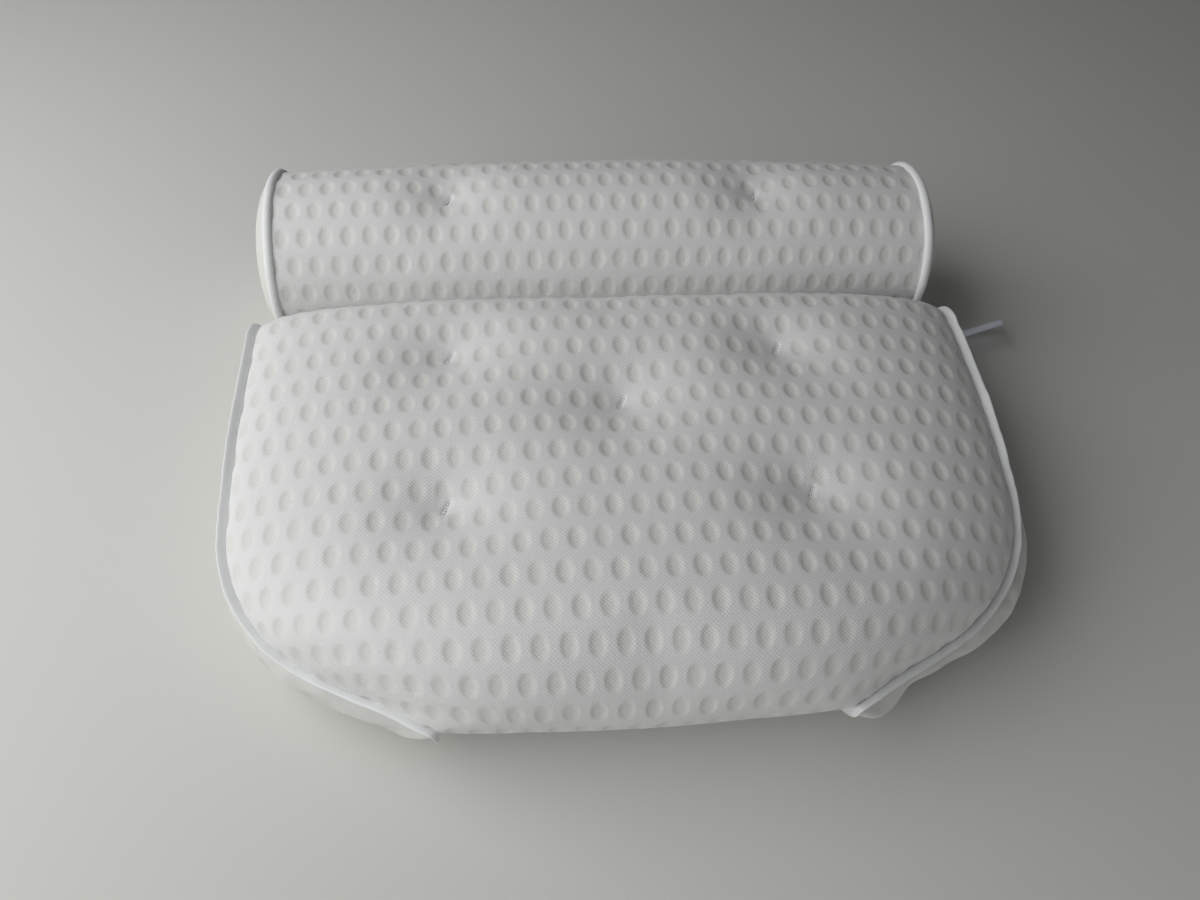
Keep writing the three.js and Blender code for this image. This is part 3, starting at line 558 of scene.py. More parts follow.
def rim_of(mesh):
    """The points on the open edges of a mesh."""
    bm = bmesh.new()
    bm.from_mesh(mesh)
    rim = [vert.index for vert in bm.verts if vert.is_boundary]
    bm.free()
    return rim


def evened(mesh, moved, held, passes):
    """Spreads the moves of a piece of cloth over its neighbours, so that it swells smoothly."""
    ends = np.empty(len(mesh.edges) * 2, np.int64)
    mesh.edges.foreach_get("vertices", ends)
    count = np.bincount(ends, minlength=len(moved))[:, None]
    first, second = ends.reshape(-1, 2).T
    for _ in range(passes):
        total = np.zeros_like(moved)
        np.add.at(total, first, moved[second])
        np.add.at(total, second, moved[first])
        moved = total / count
        moved[held] = 0
    return moved


def swell(obj, held, slack, push, give, even=0):
    """Lets the padding push a slack piece of cloth out while some points are held. No point
    moves further than the cloth can give. A thick cloth is evened, and a thin one keeps its
    creases."""
    rest = points_of(obj.data)
    group = obj.vertex_groups.new(name="held")
    group.add([int(index) for index in held], 1.0, "REPLACE")
    cloth = obj.modifiers.new("cloth", "CLOTH")
    settings = cloth.settings
    settings.vertex_group_mass = group.name
    settings.effector_weights.gravity = 0
    settings.use_pressure = True
    settings.uniform_pressure_force = push
    settings.shrink_min = -slack
    settings.quality = 6
    settings.mass = 0.2
    settings.tension_stiffness = 20
    settings.compression_stiffness = 20
    settings.shear_stiffness = 8
    settings.bending_stiffness = 0.8
    settings.air_damping = 2
    cloth.collision_settings.use_collision = False
    cloth.point_cache.frame_start = 1
    cloth.point_cache.frame_end = SWELL_FRAMES
    for step in range(1, SWELL_FRAMES + 1):
        scene.frame_set(step)
    depsgraph = bpy.context.evaluated_depsgraph_get()
    moved = points_of(obj.evaluated_get(depsgraph).data) - rest
    obj.modifiers.clear()
    obj.vertex_groups.clear()
    scene.frame_set(1)
    moved = evened(obj.data, moved, held, even)
    far = np.maximum(np.linalg.norm(moved, axis=1, keepdims=True), TINY)
    move_points(obj.data, rest + moved * give * np.tanh(far / give) / far)


def dimple_depth(across, along):
    """Depth of the pressed dimples on the flat cloth: ovals in rows that step sideways by
    half a pitch, no two quite alike."""
    row = np.round(along / DIMPLE_ROW)
    shift = (row % 2) * DIMPLE_PITCH / 2
    column = np.round((across - shift) / DIMPLE_PITCH)
    off_across = across - shift - column * DIMPLE_PITCH
    off_along = along - row * DIMPLE_ROW
    uneven = np.sin(DIMPLE_SHUFFLE[0] * row + DIMPLE_SHUFFLE[1] * column)
    reach = np.hypot(off_across / (DIMPLE_WIDTH / 2), off_along / (DIMPLE_LENGTH / 2))
    pressed = np.clip(1 - reach**DIMPLE_FLOOR, 0.0, None)
    return DIMPLE_DEPTH * (1 + DIMPLE_UNEVEN * uneven) * pressed


def tuft_dents(points, dips):
    """How much of the dimples is left beside each tuft, and the groove its stitches pull."""
    left = np.ones(len(points))
    groove = np.zeros(len(points))
    for dip in dips.values():
        off = points[:, :2] - np.array(dip.xy)
        on_top = points[:, 2] > dip.z
        away = np.linalg.norm(off, axis=1)
        bar = off @ (math.cos(STITCH_TURN), math.sin(STITCH_TURN))
        beside = off @ (-math.sin(STITCH_TURN), math.cos(STITCH_TURN))
        pull = STITCH_GROOVE * np.exp(-((beside / STITCH_GROOVE_WIDTH) ** 2))
        pull *= 1 - smoothstep(np.abs(bar), *STITCH_FADE)
        groove += on_top * pull
        left *= np.where(on_top, smoothstep(away, TUFT_BARE, TUFT_SMOOTH), 1.0)
    return left, groove


def flat_places(mesh):
    """Where each point of a mesh lies on its flat cloth, from the UV map."""
    loops = len(mesh.loops)
    corners = np.empty(loops, np.int64)
    mesh.loops.foreach_get("vertex_index", corners)
    uv = np.empty(loops * 2)
    mesh.uv_layers[0].uv.foreach_get("vector", uv)
    flat = np.empty((len(mesh.vertices), 2))
    flat[corners] = uv.reshape(-1, 2)
    return flat


def refine(obj, levels):
    """Divides a mesh into finer, smoother faces once its modifiers are applied."""
    fine = obj.modifiers.new("fine", "SUBSURF")
    fine.levels = levels
    fine.render_levels = levels
    return fine


def dimpled_shell(obj, thickness, dips):
    """Makes a coarse sheet into air mesh: a fine dimpled face, a plain back at a thickness
    inside it, and a rim that joins the two. No dimple reaches the rim."""
    inner = np.ones(len(obj.data.vertices))
    inner[rim_of(obj.data)] = 0
    obj.data.attributes.new("inner", "FLOAT", "POINT").data.foreach_set("value", inner)
    back = obj.data.copy()
    move_points(back, points_of(back) - normals_of(back) * thickness)
    fine = refine(obj, 2)
    fine.boundary_smooth = "PRESERVE_CORNERS"
    fine.uv_smooth = "PRESERVE_BOUNDARIES"
    apply_modifiers(obj)
    face = obj.data
    inner = np.empty(len(face.vertices))
    face.attributes["inner"].data.foreach_get("value", inner)
    flat = flat_places(face)
    points = points_of(face)
    left, groove = tuft_dents(points, dips)
    dimples = dimple_depth(flat[:, 0], flat[:, 1]) * smoothstep(inner, 0.0, 0.5) * left
    # How far each point lies in a dimple; the air mesh material paints the dimples darker by it,
    # as painted shade in the hollows.
    pressed = smoothstep(dimples, 0.0, DIMPLE_EDGE * DIMPLE_DEPTH)
    face.attributes.new("pressed", "FLOAT", "POINT").data.foreach_set("value", pressed)
    move_points(face, points - normals_of(face) * (dimples + groove)[:, None])
    bm = bmesh.new()
    bm.from_mesh(face)
    front = set(bm.faces)
    bm.from_mesh(back)
    bmesh.ops.reverse_faces(bm, faces=[f for f in bm.faces if f not in front])
    bmesh.ops.bridge_loops(bm, edges=[edge for edge in bm.edges if edge.is_boundary])
    for f in bm.faces:
        f.smooth = True
    bm.to_mesh(face)
    bm.free()
    bpy.data.meshes.remove(back)


def band_scale(pitch):
    """The scale of a wave texture whose bands lie a pitch apart."""
    return math.pi / 10 / pitch


def weave_height(tree, place, pitch, turn):
    """Height of two sets of threads that cross, as they lie on the flat cloth."""
    turned = add_node(
        tree,
        "ShaderNodeMapping",
        {"Vector": place.outputs["UV"], "Rotation": (0.0, 0.0, turn)},
    )
    bands = [
        add_node(
            tree,
            "ShaderNodeTexWave",
            {"Vector": turned.outputs["Vector"], "Scale": band_scale(pitch), "Distortion": 0.4},
            wave_type="BANDS",
            bands_direction=direction,
        )
        for direction in ("X", "Y")
    ]
    crossed = add_node(
        tree,
        "ShaderNodeMath",
        {0: bands[0].outputs["Fac"], 1: bands[1].outputs["Fac"]},
        operation="MAXIMUM",
    )
    return crossed.outputs[0]


def woven(name, tones, roughness, blotch, pitch, turn, relief):
    """A woven or knitted cloth with its threads in relief and a little sheen."""
    material, tree, shader, place = start_material(name, tones, roughness, blotch)
    height = weave_height(tree, place, pitch, turn)
    add_relief(tree, shader, height, relief, strength=0.4)
    uneven = add_node(
        tree,
        "ShaderNodeMapRange",
        {
            "Value": height,
            "To Min": min(1.0, roughness + WEAVE_DULL),
            "To Max": roughness - WEAVE_BRIGHT,
        },
    )
    tree.links.new(uneven.outputs["Result"], shader.inputs["Roughness"])
    shader.inputs["Sheen Weight"].default_value = 0.12
    shader.inputs["Sheen Roughness"].default_value = 0.5
    return material


air_mesh = woven(
    "air_mesh_knit",
    AIR_MESH_TONES,
    roughness=0.88,
    blotch=0.05,
    pitch=KNIT_PITCH,
    turn=BIAS,
    relief=KNIT_RELIEF,
)
mesh_tree = air_mesh.node_tree
mesh_colour = mesh_tree.nodes["Principled BSDF"].inputs["Base Color"]
# The dimples are painted a little darker by their pressed share: painted shade in the hollows.
dimple_shade_mask = add_node(mesh_tree, "ShaderNodeAttribute", attribute_name="pressed")
dimple_shade_mix = add_node(
    mesh_tree,
    "ShaderNodeMix",
    {"Factor": dimple_shade_mask.outputs["Fac"], 6: mesh_colour.links[0].from_socket},
    data_type="RGBA",
)
dimple_shade_mix.inputs[7].default_value = tone(*DIMPLE_SHADE_TONE)
mesh_tree.links.new(dimple_shade_mix.outputs[2], mesh_colour)
rows = [cover_row(share * CENTRE_LINE) for share in np.linspace(0, 1, COVER_ROWS + 1)]
knots = np.array([[point for point, _ in row] for row in rows])
cut_knots = ironed(np.array([[flat for _, flat in row] for row in rows]), knots)


def knot_index(u, v):
    return round(v * COVER_ROWS), round(u * COVER_COLUMNS)


bm = bmesh.new()
add_sheet(
    bm,
    COVER_COLUMNS,
    COVER_ROWS,
    lambda u, v: knots[knot_index(u, v)],
    lambda u, v: cut_knots[knot_index(u, v)],
)
body_cover = link_mesh("body_mesh_cover", bm)


def tied_points(mesh, dips):
    """The points of a cover that the stitches of its tufts hold."""
    return [
        index
        for index, point in enumerate(points_of(mesh))
        if any(
            point[2] > dip.z and math.dist(point[:2], dip.xy) < TUFT_HOLD
            for dip in dips.values()
        )
    ]


held = rim_of(body_cover.data) + tied_points(body_cover.data, body_dips)
swell(body_cover, held, COVER_SLACK, PADDING_PUSH, COVER_GIVE, COVER_EVEN)
dimpled_shell(body_cover, COVER_THICKNESS, body_dips)
body_cover.data.materials.append(air_mesh)
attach(body_cover, "body")
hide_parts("body_cover")

# Each end of the body is closed by a panel of plain cloth between the side seam and the
# back panel. It is cut a little full, so it bulges below the seam and creases in front.
END_BULGE = {"left": 0.005, "right": 0.012}
END_HIGH = 0.65
END_TUCK = 0.005
END_ROUND = 0.8
END_FULLNESS = 0.5
END_NOSE_CURVE = 1.2
END_NOSE_LIFT = 5
END_NOSE_TIGHT = {"left": 1.2, "right": 1.45}
END_BACK_CORNER = 0.034
END_COLUMNS = 120
END_ROWS = 16
END_SLACK = 0.035
END_GIVE = {"left": 0.0025, "right": 0.0050}
END_PUSH = 3.0
CLOTH_THICKNESS = 0.0012
PLAIN_CLOTH_TONES = ((230, 231, 226), (222, 223, 218))
PLAIN_WEAVE = 0.0007
PLAIN_RELIEF = 0.00012
SIDES = {"left": -1, "right": 1}

plain_cloth = woven(
    "plain_cloth_weave",
    PLAIN_CLOTH_TONES,
    roughness=0.82,
    blotch=0.03,
    pitch=PLAIN_WEAVE,
    turn=0.0,
    relief=PLAIN_RELIEF,
)


def to_outline(point):
    """A plan place as a run round the body's outline and a reach from the corner's middle."""
    if point.y >= CORNER_Y:
        return point.y - CORNER_Y, point.x - CORNER_X
    out_x, out_y = point.x - CORNER_X, CORNER_Y - point.y
    return -math.atan2(out_y, out_x) * CORNER_RADIUS, math.hypot(out_x, out_y)


def from_outline(run, reach, z):
    """The place at a height that has a run and a reach as to_outline gives them."""
    if run >= 0:
        return Vector((CORNER_X + reach, CORNER_Y + run, z))
    angle = -run / CORNER_RADIUS
    return Vector((CORNER_X + reach * math.cos(angle), CORNER_Y - reach * math.sin(angle), z))


def lower_edge(share):
    """Run, reach and height of the lower edge of the right end panel, from nose to back, and
    how far it has come round to the nose."""
    first = body_row(0)[1]
    last = body_row(CENTRE_LINE)[1]
    first_run, first_reach = to_outline(first)
    last_run, last_reach = to_outline(last)
    run = lerp(first_run, last_run, share)
    front = max(run / first_run, 0)
    back = float(smoothstep(run, last_run - END_BACK_CORNER, last_run))
    side = CORNER_RADIUS - END_TUCK
    reach = lerp(lerp(side, first_reach, front**END_NOSE_CURVE), last_reach, back)
    z = lerp(lerp(STAND_OFF, first.z, front**END_NOSE_LIFT), last.z, back)
    return run, reach, z, front


def end_point(share, down, hand):
    """A point of an end panel, as on the right: down is 0 on the seam and 1 on the lower
    edge. The panel on the right is fuller."""
    seam = body_row(share * CENTRE_LINE)[1]
    run, reach = to_outline(seam)
    low_run, low_reach, low_z, front = lower_edge(share)
    height = (seam - from_outline(low_run, low_reach, low_z)).length
    room = END_BULGE[hand] + END_ROUND * corner_pull(-run / CORNER_RADIUS)
    room += (reach - low_reach) / 2
    swell_out = min(room, END_FULLNESS * height) * (1 - front ** END_NOSE_TIGHT[hand])
    return from_outline(
        lerp(run, low_run, down),
        lerp(reach, low_reach, down) + math.sin(math.pi * down**END_HIGH) * swell_out,
        lerp(seam.z, low_z, down),
    )


def on_side(point, side):
    return Vector((side * point.x, point.y, point.z))


def turn_out(bm, inside):
    """Turns all faces of a mesh to point away from a place inside it."""
    bm.normal_update()
    facing = sum(
        face.calc_area() * face.normal.dot(face.calc_center_median() - inside)
        for face in bm.faces
    )
    if facing < 0:
        bmesh.ops.reverse_faces(bm, faces=bm.faces)


def cloth_area(bm):
    return sum(face.calc_area() for face in bm.faces)


def thicken(obj, thickness, levels):
    """Smooths a sheet and gives it a thickness, to the inside."""
    refine(obj, levels)
    wall = obj.modifiers.new("wall", "SOLIDIFY")
    wall.thickness = thickness
    wall.offset = -1
    apply_modifiers(obj)


BODY_INSIDE = Vector((0, 0, NOSE_Z))
end_length = to_outline(body_row(CENTRE_LINE)[1])[0] - to_outline(body_row(0)[1])[0]
end_height = SEAM_HEIGHT - STAND_OFF
for hand, side in SIDES.items():
    bm = bmesh.new()
    add_sheet(
        bm,
        END_COLUMNS,
        END_ROWS,
        lambda u, v: on_side(end_point(u, v, hand), side),
        lambda u, v: (u * end_length, v * end_height),
    )
    bmesh.ops.remove_doubles(bm, verts=bm.verts, dist=WELD)
    turn_out(bm, BODY_INSIDE)
    area = cloth_area(bm)
    panel = link_mesh(f"body_{hand}_end_cloth", bm)
    swell(panel, rim_of(panel.data), END_SLACK, END_PUSH, END_GIVE[hand])
    thicken(panel, CLOTH_THICKNESS, 1)
    panel.data.materials.append(plain_cloth)
    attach(panel, "body")
    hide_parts(f"body_{hand}_end_panel")

# The back panel is a flat piece of the same cloth under the padding, with a bound hole for
# the neck of each suction cup. Its rim turns up to the end panels, and it sags a little
# between the cups, which hold it up.
BACK_COLUMNS = 64
BACK_ROWS = 44
BACK_SAG = 0.003
BACK_HOLD = 0.022
BACK_RIM = 12
BACK_TAUT = 6
BACK_THICKNESS = 0.002
NECK_HOLE = 0.0049
DRILL_LENGTH = 0.03
DRILL_SIDES = 32


def back_place(u, v):
    run, reach, z, _ = lower_edge(v)
    edge = from_outline(run, reach, z)
    point = Vector((lerp(edge.x, -edge.x, u), edge.y, STAND_OFF))
    loose = (1 - abs(2 * u - 1) ** BACK_TAUT) * (1 - abs(2 * v - 1) ** BACK_TAUT)
    for name in BODY_TUFTS:
        away = (point.xy - tuft_place[name].xy).length
        loose *= 1 - math.exp(-((away / BACK_HOLD) ** 2))
    rim = max(abs(2 * u - 1), 1 - v) ** BACK_RIM
    point.z += (z - STAND_OFF) * rim - BACK_SAG * loose
    return point


def bore(obj, places, radius, height):
    """Cuts round holes through a thin piece that lies near a height."""
    bm = bmesh.new()
    for place in places:
        bmesh.ops.create_cone(
            bm,
            cap_ends=True,
            segments=DRILL_SIDES,
            radius1=radius,
            radius2=radius,
            depth=DRILL_LENGTH,
            matrix=Matrix.Translation((place.x, place.y, height)),
        )
    drill = link_mesh("drill", bm)
    holes = obj.modifiers.new("holes", "BOOLEAN")
    holes.object = drill
    holes.solver = "EXACT"
    apply_modifiers(obj)
    bpy.data.meshes.remove(drill.data)


bm = bmesh.new()
add_sheet(
    bm,
    BACK_COLUMNS,
    BACK_ROWS,
    back_place,
    lambda u, v: (u * BODY_WIDTH, v * end_length),
)
turn_out(bm, BODY_INSIDE)
area = cloth_area(bm)
back_panel = link_mesh("body_back_cloth", bm)
thicken(back_panel, BACK_THICKNESS, 1)
bore(back_panel, [tuft_place[name] for name in BODY_TUFTS], NECK_HOLE, STAND_OFF)
back_panel.data.materials.clear()
back_panel.data.materials.append(plain_cloth)
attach(back_panel, "body")
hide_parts("body_back_panel")

# The side seams of the body are bound in a folded strip of soft cloth that stands out as a
# flat ridge. It is sewn by hand and eye, so it wanders and puckers a little along its length.
SIDE_RIDGE = {"thickness": 0.0028, "height": 0.0085, "lift": 0.0012}
PIPING_STEPS = 300
PIPING_SIDES = 16
SEAM_TUCK = 0.008
SEAM_HEM = 0.004
PUCKER = 0.0060
PUCKER_DEPTH = 0.10
WANDER = 0.020
WANDER_DEPTH = 0.0005
STITCH = 0.0032
STITCH_DEPTH = 0.16
STITCH_LEAST = 0.4
STITCH_LINE = math.radians(112)
STITCH_WIDTH = math.radians(16)
SEAM_TILT = 1.1
SEAM_TILT_RISE = (-0.015, 0.006)
TAIL_LENGTH = 0.050
TAIL_SINK = 0.0035
TAIL_SIZE = 0.6
BOUND_SEAM_TONES = ((246, 247, 248), (239, 240, 241))
BINDING_WEAVE = 0.0008
BINDING_RELIEF = 0.0001
FINE_WELD = 1e-6

bound_seam = woven(
    "seam_binding_cloth",
    BOUND_SEAM_TONES,
    roughness=0.76,
    blotch=0.02,
    pitch=BINDING_WEAVE,
    turn=BIAS,
    relief=BINDING_RELIEF,
)


def binding_ring(centre, along, out, distance, ridge, full):
    """One ring of a bound seam: an oval as high and thick as its ridge, nipped in where it is
    stitched, with its size and place a little uneven. Towards a loose tail, where it is less
    full, it gets smaller and sinks in."""
    out = (out - along * out.dot(along)).normalized()
    across = along.cross(out)
    pucker = lerp(TAIL_SIZE, 1, full) * (1 + PUCKER_DEPTH * noise.noise(centre / PUCKER))
    middle = centre + across * WANDER_DEPTH * noise.noise(centre / WANDER)
    middle += out * lerp(-TAIL_SINK, ridge["lift"], full)
    dent = 0.5 + 0.5 * math.cos(2 * math.pi * distance / STITCH)
    ring = []
    for angle in np.linspace(-math.pi, math.pi, PIPING_SIDES + 1):
        near = math.exp(-(((abs(angle) - STITCH_LINE) / STITCH_WIDTH) ** 2))
        size = pucker * (1 - STITCH_DEPTH * lerp(STITCH_LEAST, 1, dent) * near)
        ring.append(
            middle
            + out * (size * ridge["height"] / 2 * math.cos(angle))
            + across * (size * ridge["thickness"] / 2 * math.sin(angle))
        )
    return ring


def binding(name, points, outs, ridge, endless):
    """A bound seam along a run of points."""
    count = len(points)
    steps = [(points[(i + 1) % count] - points[i]).length for i in range(count)]
    run = np.concatenate([[0.0], np.cumsum(steps)])
    rings = []
    for i, point in enumerate(points):
        before = points[i - 1] if endless or i else point
        after = points[(i + 1) % count] if endless or i + 1 < count else point
        along = (after - before).normalized()
        to_tail = TAIL_LENGTH if endless else min(run[i], run[-2] - run[i])
        full = float(smoothstep(to_tail, 0.0, TAIL_LENGTH))
        rings.append(binding_ring(point, along, outs[i], run[i], ridge, full))
    if endless:
        rings.append(rings[0])
    last = len(rings) - 1
    bm = bmesh.new()
    add_sheet(
        bm,
        PIPING_SIDES,
        last,
        lambda u, v: rings[round(v * last)][round(u * PIPING_SIDES)],
        lambda u, v: (2 * u * ridge["height"], float(run[round(v * last)])),
    )
    bmesh.ops.remove_doubles(bm, verts=bm.verts, dist=FINE_WELD)
    if not endless:
        bmesh.ops.holes_fill(bm, edges=[edge for edge in bm.edges if edge.is_boundary])
    bmesh.ops.recalc_face_normals(bm, faces=bm.faces)
    obj = link_mesh(name, bm)
    refine(obj, 1)
    apply_modifiers(obj)
    obj.data.materials.append(bound_seam)
    return obj


def seam_inside(point):
    """A place in the padding that the binding of the right side seam stands away from: it
    leans up and out, and straight out where the seam goes under the nose."""
    x = min(point.x, CORNER_X)
    y = min(max(point.y, CORNER_Y), BACK_EDGE_Y)
    lean = SEAM_TILT * float(smoothstep(point.z - SEAM_NOSE_Z, *SEAM_TILT_RISE))
    return Vector((x, y, point.z - lean * math.dist(point.xy, (x, y))))


seam_line = [
    body_row(length)[1]
    for length in np.linspace(SEAM_TUCK, CENTRE_LINE - SEAM_HEM, PIPING_STEPS)
]
for hand, side in SIDES.items():
    points = [on_side(point, side) for point in seam_line]
    outs = [on_side(point - seam_inside(point), side) for point in seam_line]
    seam = binding(f"body_{hand}_seam_binding", points, outs, SIDE_RIDGE, False)
    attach(seam, "body")
    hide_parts(f"body_{hand}_piping")

pack_padding("roll_padding", "roll_filling", "roll")

# The cover of the roll is one piece of the same air mesh, wrapped round the padding and
# closed by a seam low on the front, behind the web. Two tufts draw it down on top.
roll_low, roll_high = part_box("roll_cover")
ROLL_LENGTH = 0.381
ROLL_RADIUS = (roll_high.y - roll_low.y) / 2
ROLL_Y = (roll_high.y + roll_low.y) / 2
ROLL_TAPER = 0.003
ROLL_FLAT = 0.042
ROLL_TUFT_LEAN = 0.014
ROLL_COLUMNS = 96
ROLL_RING = 80
ROLL_SLACK = 0.0015
ROLL_GIVE = 0.002
WEB_RISE = math.radians(34)
FLAT_ANGLE = math.asin(ROLL_FLAT / 2 / ROLL_RADIUS)
ROLL_SEAM = FLAT_ANGLE + WEB_RISE
ROLL_INSIDE = Vector((0, ROLL_Y, STAND_OFF + ROLL_RADIUS * math.cos(FLAT_ANGLE)))

roll_dips = {name: dip_place(name, ROLL_TUFT_LEAN) for name in ROLL_TUFTS}


def roll_point(x, angle, proud=0.0):
    """A point of the roll, at an angle round from the middle of its underside."""
    radius = ROLL_RADIUS - ROLL_TAPER * (2 * x / ROLL_LENGTH) ** 2
    from_foot = abs((angle + math.pi) % (2 * math.pi) - math.pi)
    depth = radius * math.cos(FLAT_ANGLE)
    reach = radius + proud
    if from_foot < QUARTER_TURN:
        reach = min(reach, (depth + proud) / math.cos(from_foot))
    over_top = radius * (angle % (2 * math.pi) - math.pi)
    for dip in roll_dips.values():
        reach -= tuft_dip(math.hypot(x - dip.x, over_top + dip.y - ROLL_Y))
    y = ROLL_Y + reach * math.sin(angle)
    return Vector((x, y, STAND_OFF + depth - reach * math.cos(angle)))


def roll_angle(v):
    return 2 * math.pi * (1 - v) - ROLL_SEAM


bm = bmesh.new()
add_sheet(
    bm,
    ROLL_COLUMNS,
    ROLL_RING,
    lambda u, v: roll_point(lerp(-ROLL_LENGTH / 2, ROLL_LENGTH / 2, u), roll_angle(v)),
    lambda u, v: (
        lerp(-ROLL_LENGTH / 2, ROLL_LENGTH / 2, u),
        ROLL_RADIUS * (math.pi - roll_angle(v)),
    ),
)
turn_out(bm, ROLL_INSIDE)
roll_cover = link_mesh("roll_mesh_cover", bm)
held = rim_of(roll_cover.data) + tied_points(roll_cover.data, roll_dips)
swell(roll_cover, held, ROLL_SLACK, PADDING_PUSH, ROLL_GIVE, COVER_EVEN)
dimpled_shell(roll_cover, COVER_THICKNESS, roll_dips)
roll_cover.data.materials.append(air_mesh)
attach(roll_cover, "roll")
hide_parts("roll_cover")

# Each end of the roll is a disc of plain cloth inside its end seam, pushed out by the
# padding, with short creases that run in from the stitches.
CAP_BULGE = 0.010
CAP_COLUMNS = 72
CAP_RINGS = 10
CAP_SLACK = 0.02
CAP_GIVE = 0.0018

for hand, side in SIDES.items():
    seam_x = side * ROLL_LENGTH / 2
    cap_middle = Vector((seam_x, ROLL_Y, ROLL_INSIDE.z))

    def cap_place(u, v):
        point = cap_middle.lerp(roll_point(seam_x, 2 * math.pi * u), v)
        point.x += side * CAP_BULGE * (1 - v**4)
        return point

    bm = bmesh.new()
    add_sheet(
        bm,
        CAP_COLUMNS,
        CAP_RINGS,
        cap_place,
        lambda u, v: (
            ROLL_RADIUS * v * math.cos(2 * math.pi * u),
            ROLL_RADIUS * v * math.sin(2 * math.pi * u),
        ),
    )
    bmesh.ops.remove_doubles(bm, verts=bm.verts, dist=WELD)
    turn_out(bm, ROLL_INSIDE)
    area = cloth_area(bm)
    cap = link_mesh(f"roll_{hand}_end_cloth", bm)
    swell(cap, rim_of(cap.data), CAP_SLACK, END_PUSH, CAP_GIVE)
    thicken(cap, CLOTH_THICKNESS, 1)
    cap.data.materials.append(plain_cloth)
    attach(cap, "roll")
    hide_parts(f"roll_{hand}_end_cap")

# The end seams of the roll are bound in the same cloth as those of the body, each in one
# closed ring that is lower and thicker, set in a little from the end of the roll.
ROLL_SEAM_STEPS = 200
ROLL_RIDGE = {"thickness": 0.0054, "height": 0.0046, "lift": 0.0}
ROLL_RIDGE_INSET = 0.0012
ROLL_RIDGE_LEAN = 0.15

for hand, side in SIDES.items():
    seam_x = side * ROLL_LENGTH / 2
    angles = np.linspace(0, 2 * math.pi, ROLL_SEAM_STEPS, endpoint=False)
    ridge_x = seam_x - side * ROLL_RIDGE_INSET
    points = [roll_point(ridge_x, angle) for angle in angles]
    inside = Vector((seam_x - side * ROLL_RIDGE_LEAN * ROLL_RADIUS, ROLL_Y, ROLL_INSIDE.z))
    outs = [point - inside for point in points]
    seam = binding(f"roll_{hand}_seam_binding", points, outs, ROLL_RIDGE, True)
    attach(seam, "roll")
    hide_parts(f"roll_{hand}_piping")

# The web is a strip of plain cloth, sewn to the foot of the back face and to the front of the
# roll. It hangs slack between them; on the real pillow this slack lets the roll fold back over
# the rim of a tub.
WEB_WIDTH = 0.350
WEB_THICKNESS = 0.0014
WEB_SLACK = 0.012
WEB_LIFT = 0.002
WEB_DROOP = 0.002
WEB_PROUD = 0.001
WEB_COLUMNS = 90
WEB_STEPS = 10
WEB_RIPPLE = 0.0005
WEB_RIPPLE_LENGTH = 0.022

web_low, web_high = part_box("hinge_web")
web_foot = Vector((0, web_low.y, STAND_OFF + BACK_HEM + WEB_LIFT))


def web_place(u, v):
    x = lerp(-WEB_WIDTH / 2, WEB_WIDTH / 2, u)
    foot = Vector((x, web_foot.y, web_foot.z))
    head = roll_point(x, -ROLL_SEAM, WEB_PROUD)
    low = Vector((x, head.y - WEB_SLACK, web_foot.z - WEB_DROOP))
    point = foot.lerp(low, v).lerp(low.lerp(head, v), v)
    ripple = noise.noise(Vector((x, 0.0, v * WEB_RIPPLE_LENGTH)) / WEB_RIPPLE_LENGTH)
    point.z += 4 * v * (1 - v) * WEB_RIPPLE * ripple
    return point


web_points = [web_place(0.5, v) for v in np.linspace(0, 1, WEB_STEPS + 1)]
web_length = sum((b - a).length for a, b in zip(web_points, web_points[1:]))
bm = bmesh.new()
add_sheet(
    bm,
    WEB_COLUMNS,
    WEB_STEPS,
    web_place,
    lambda u, v: (u * WEB_WIDTH, v * web_length),
)
turn_out(bm, Vector((0, web_low.y, web_high.z)))
web = link_mesh("hinge_web_cloth", bm)
thicken(web, WEB_THICKNESS, 1)
web.data.materials.append(plain_cloth)
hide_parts("hinge_web")
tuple(web_points[1])
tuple(web_points[-2])
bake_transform(web)

# Under each tuft a moulded button sits inside the cloth. Its flange lies on the panel, and
# its socket is open below for the head of a suction cup.
FLANGE_FOOT = 0.0163
BUTTON_WALL = 0.0016
BUTTON_TOP = 0.0237
BUTTON_RADIUS = 0.0088
FLANGE_RADIUS = 0.013
HEAD_RADIUS = 0.0068
HEAD_FOOT = 0.0183
HEAD_HEIGHT = 0.0034
NECK_RADIUS = 0.0042
BORE_GAP = 0.0004
MOULD_EDGE = math.radians(35)
MOULD_ROUND = 0.0003
FLOW_MARK = 0.012
GRAIN_SCALE = 1600.0
GRAIN_RELIEF = 0.0001
GRAIN_BRIGHT = 0.04
GRAIN_DULL = 0.06
PLASTIC_IOR = 1.47
BUTTON_SIDES = 40
BUTTON_TONES = ((226, 228, 231), (218, 220, 225))


def moulded(name, tones, roughness, clearness):
    """A moulded plastic with faint flow marks and a fine satin grain."""
    material, tree, shader, place = start_material(name, tones, roughness, FLOW_MARK)
    grain = add_node(
        tree,
        "ShaderNodeTexNoise",
        {"Vector": place.outputs["Object"], "Scale": GRAIN_SCALE, "Detail": 2.0},
    )
    add_relief(tree, shader, grain.outputs["Fac"], GRAIN_RELIEF, strength=0.15)
    satin = add_node(
        tree,
        "ShaderNodeMapRange",
        {
            "Value": grain.outputs["Fac"],
            "To Min": roughness - GRAIN_BRIGHT,
            "To Max": roughness + GRAIN_DULL,
        },
    )
    tree.links.new(satin.outputs["Result"], shader.inputs["Roughness"])
    shader.inputs["Transmission Weight"].default_value = clearness
    shader.inputs["IOR"].default_value = PLASTIC_IOR
    return material


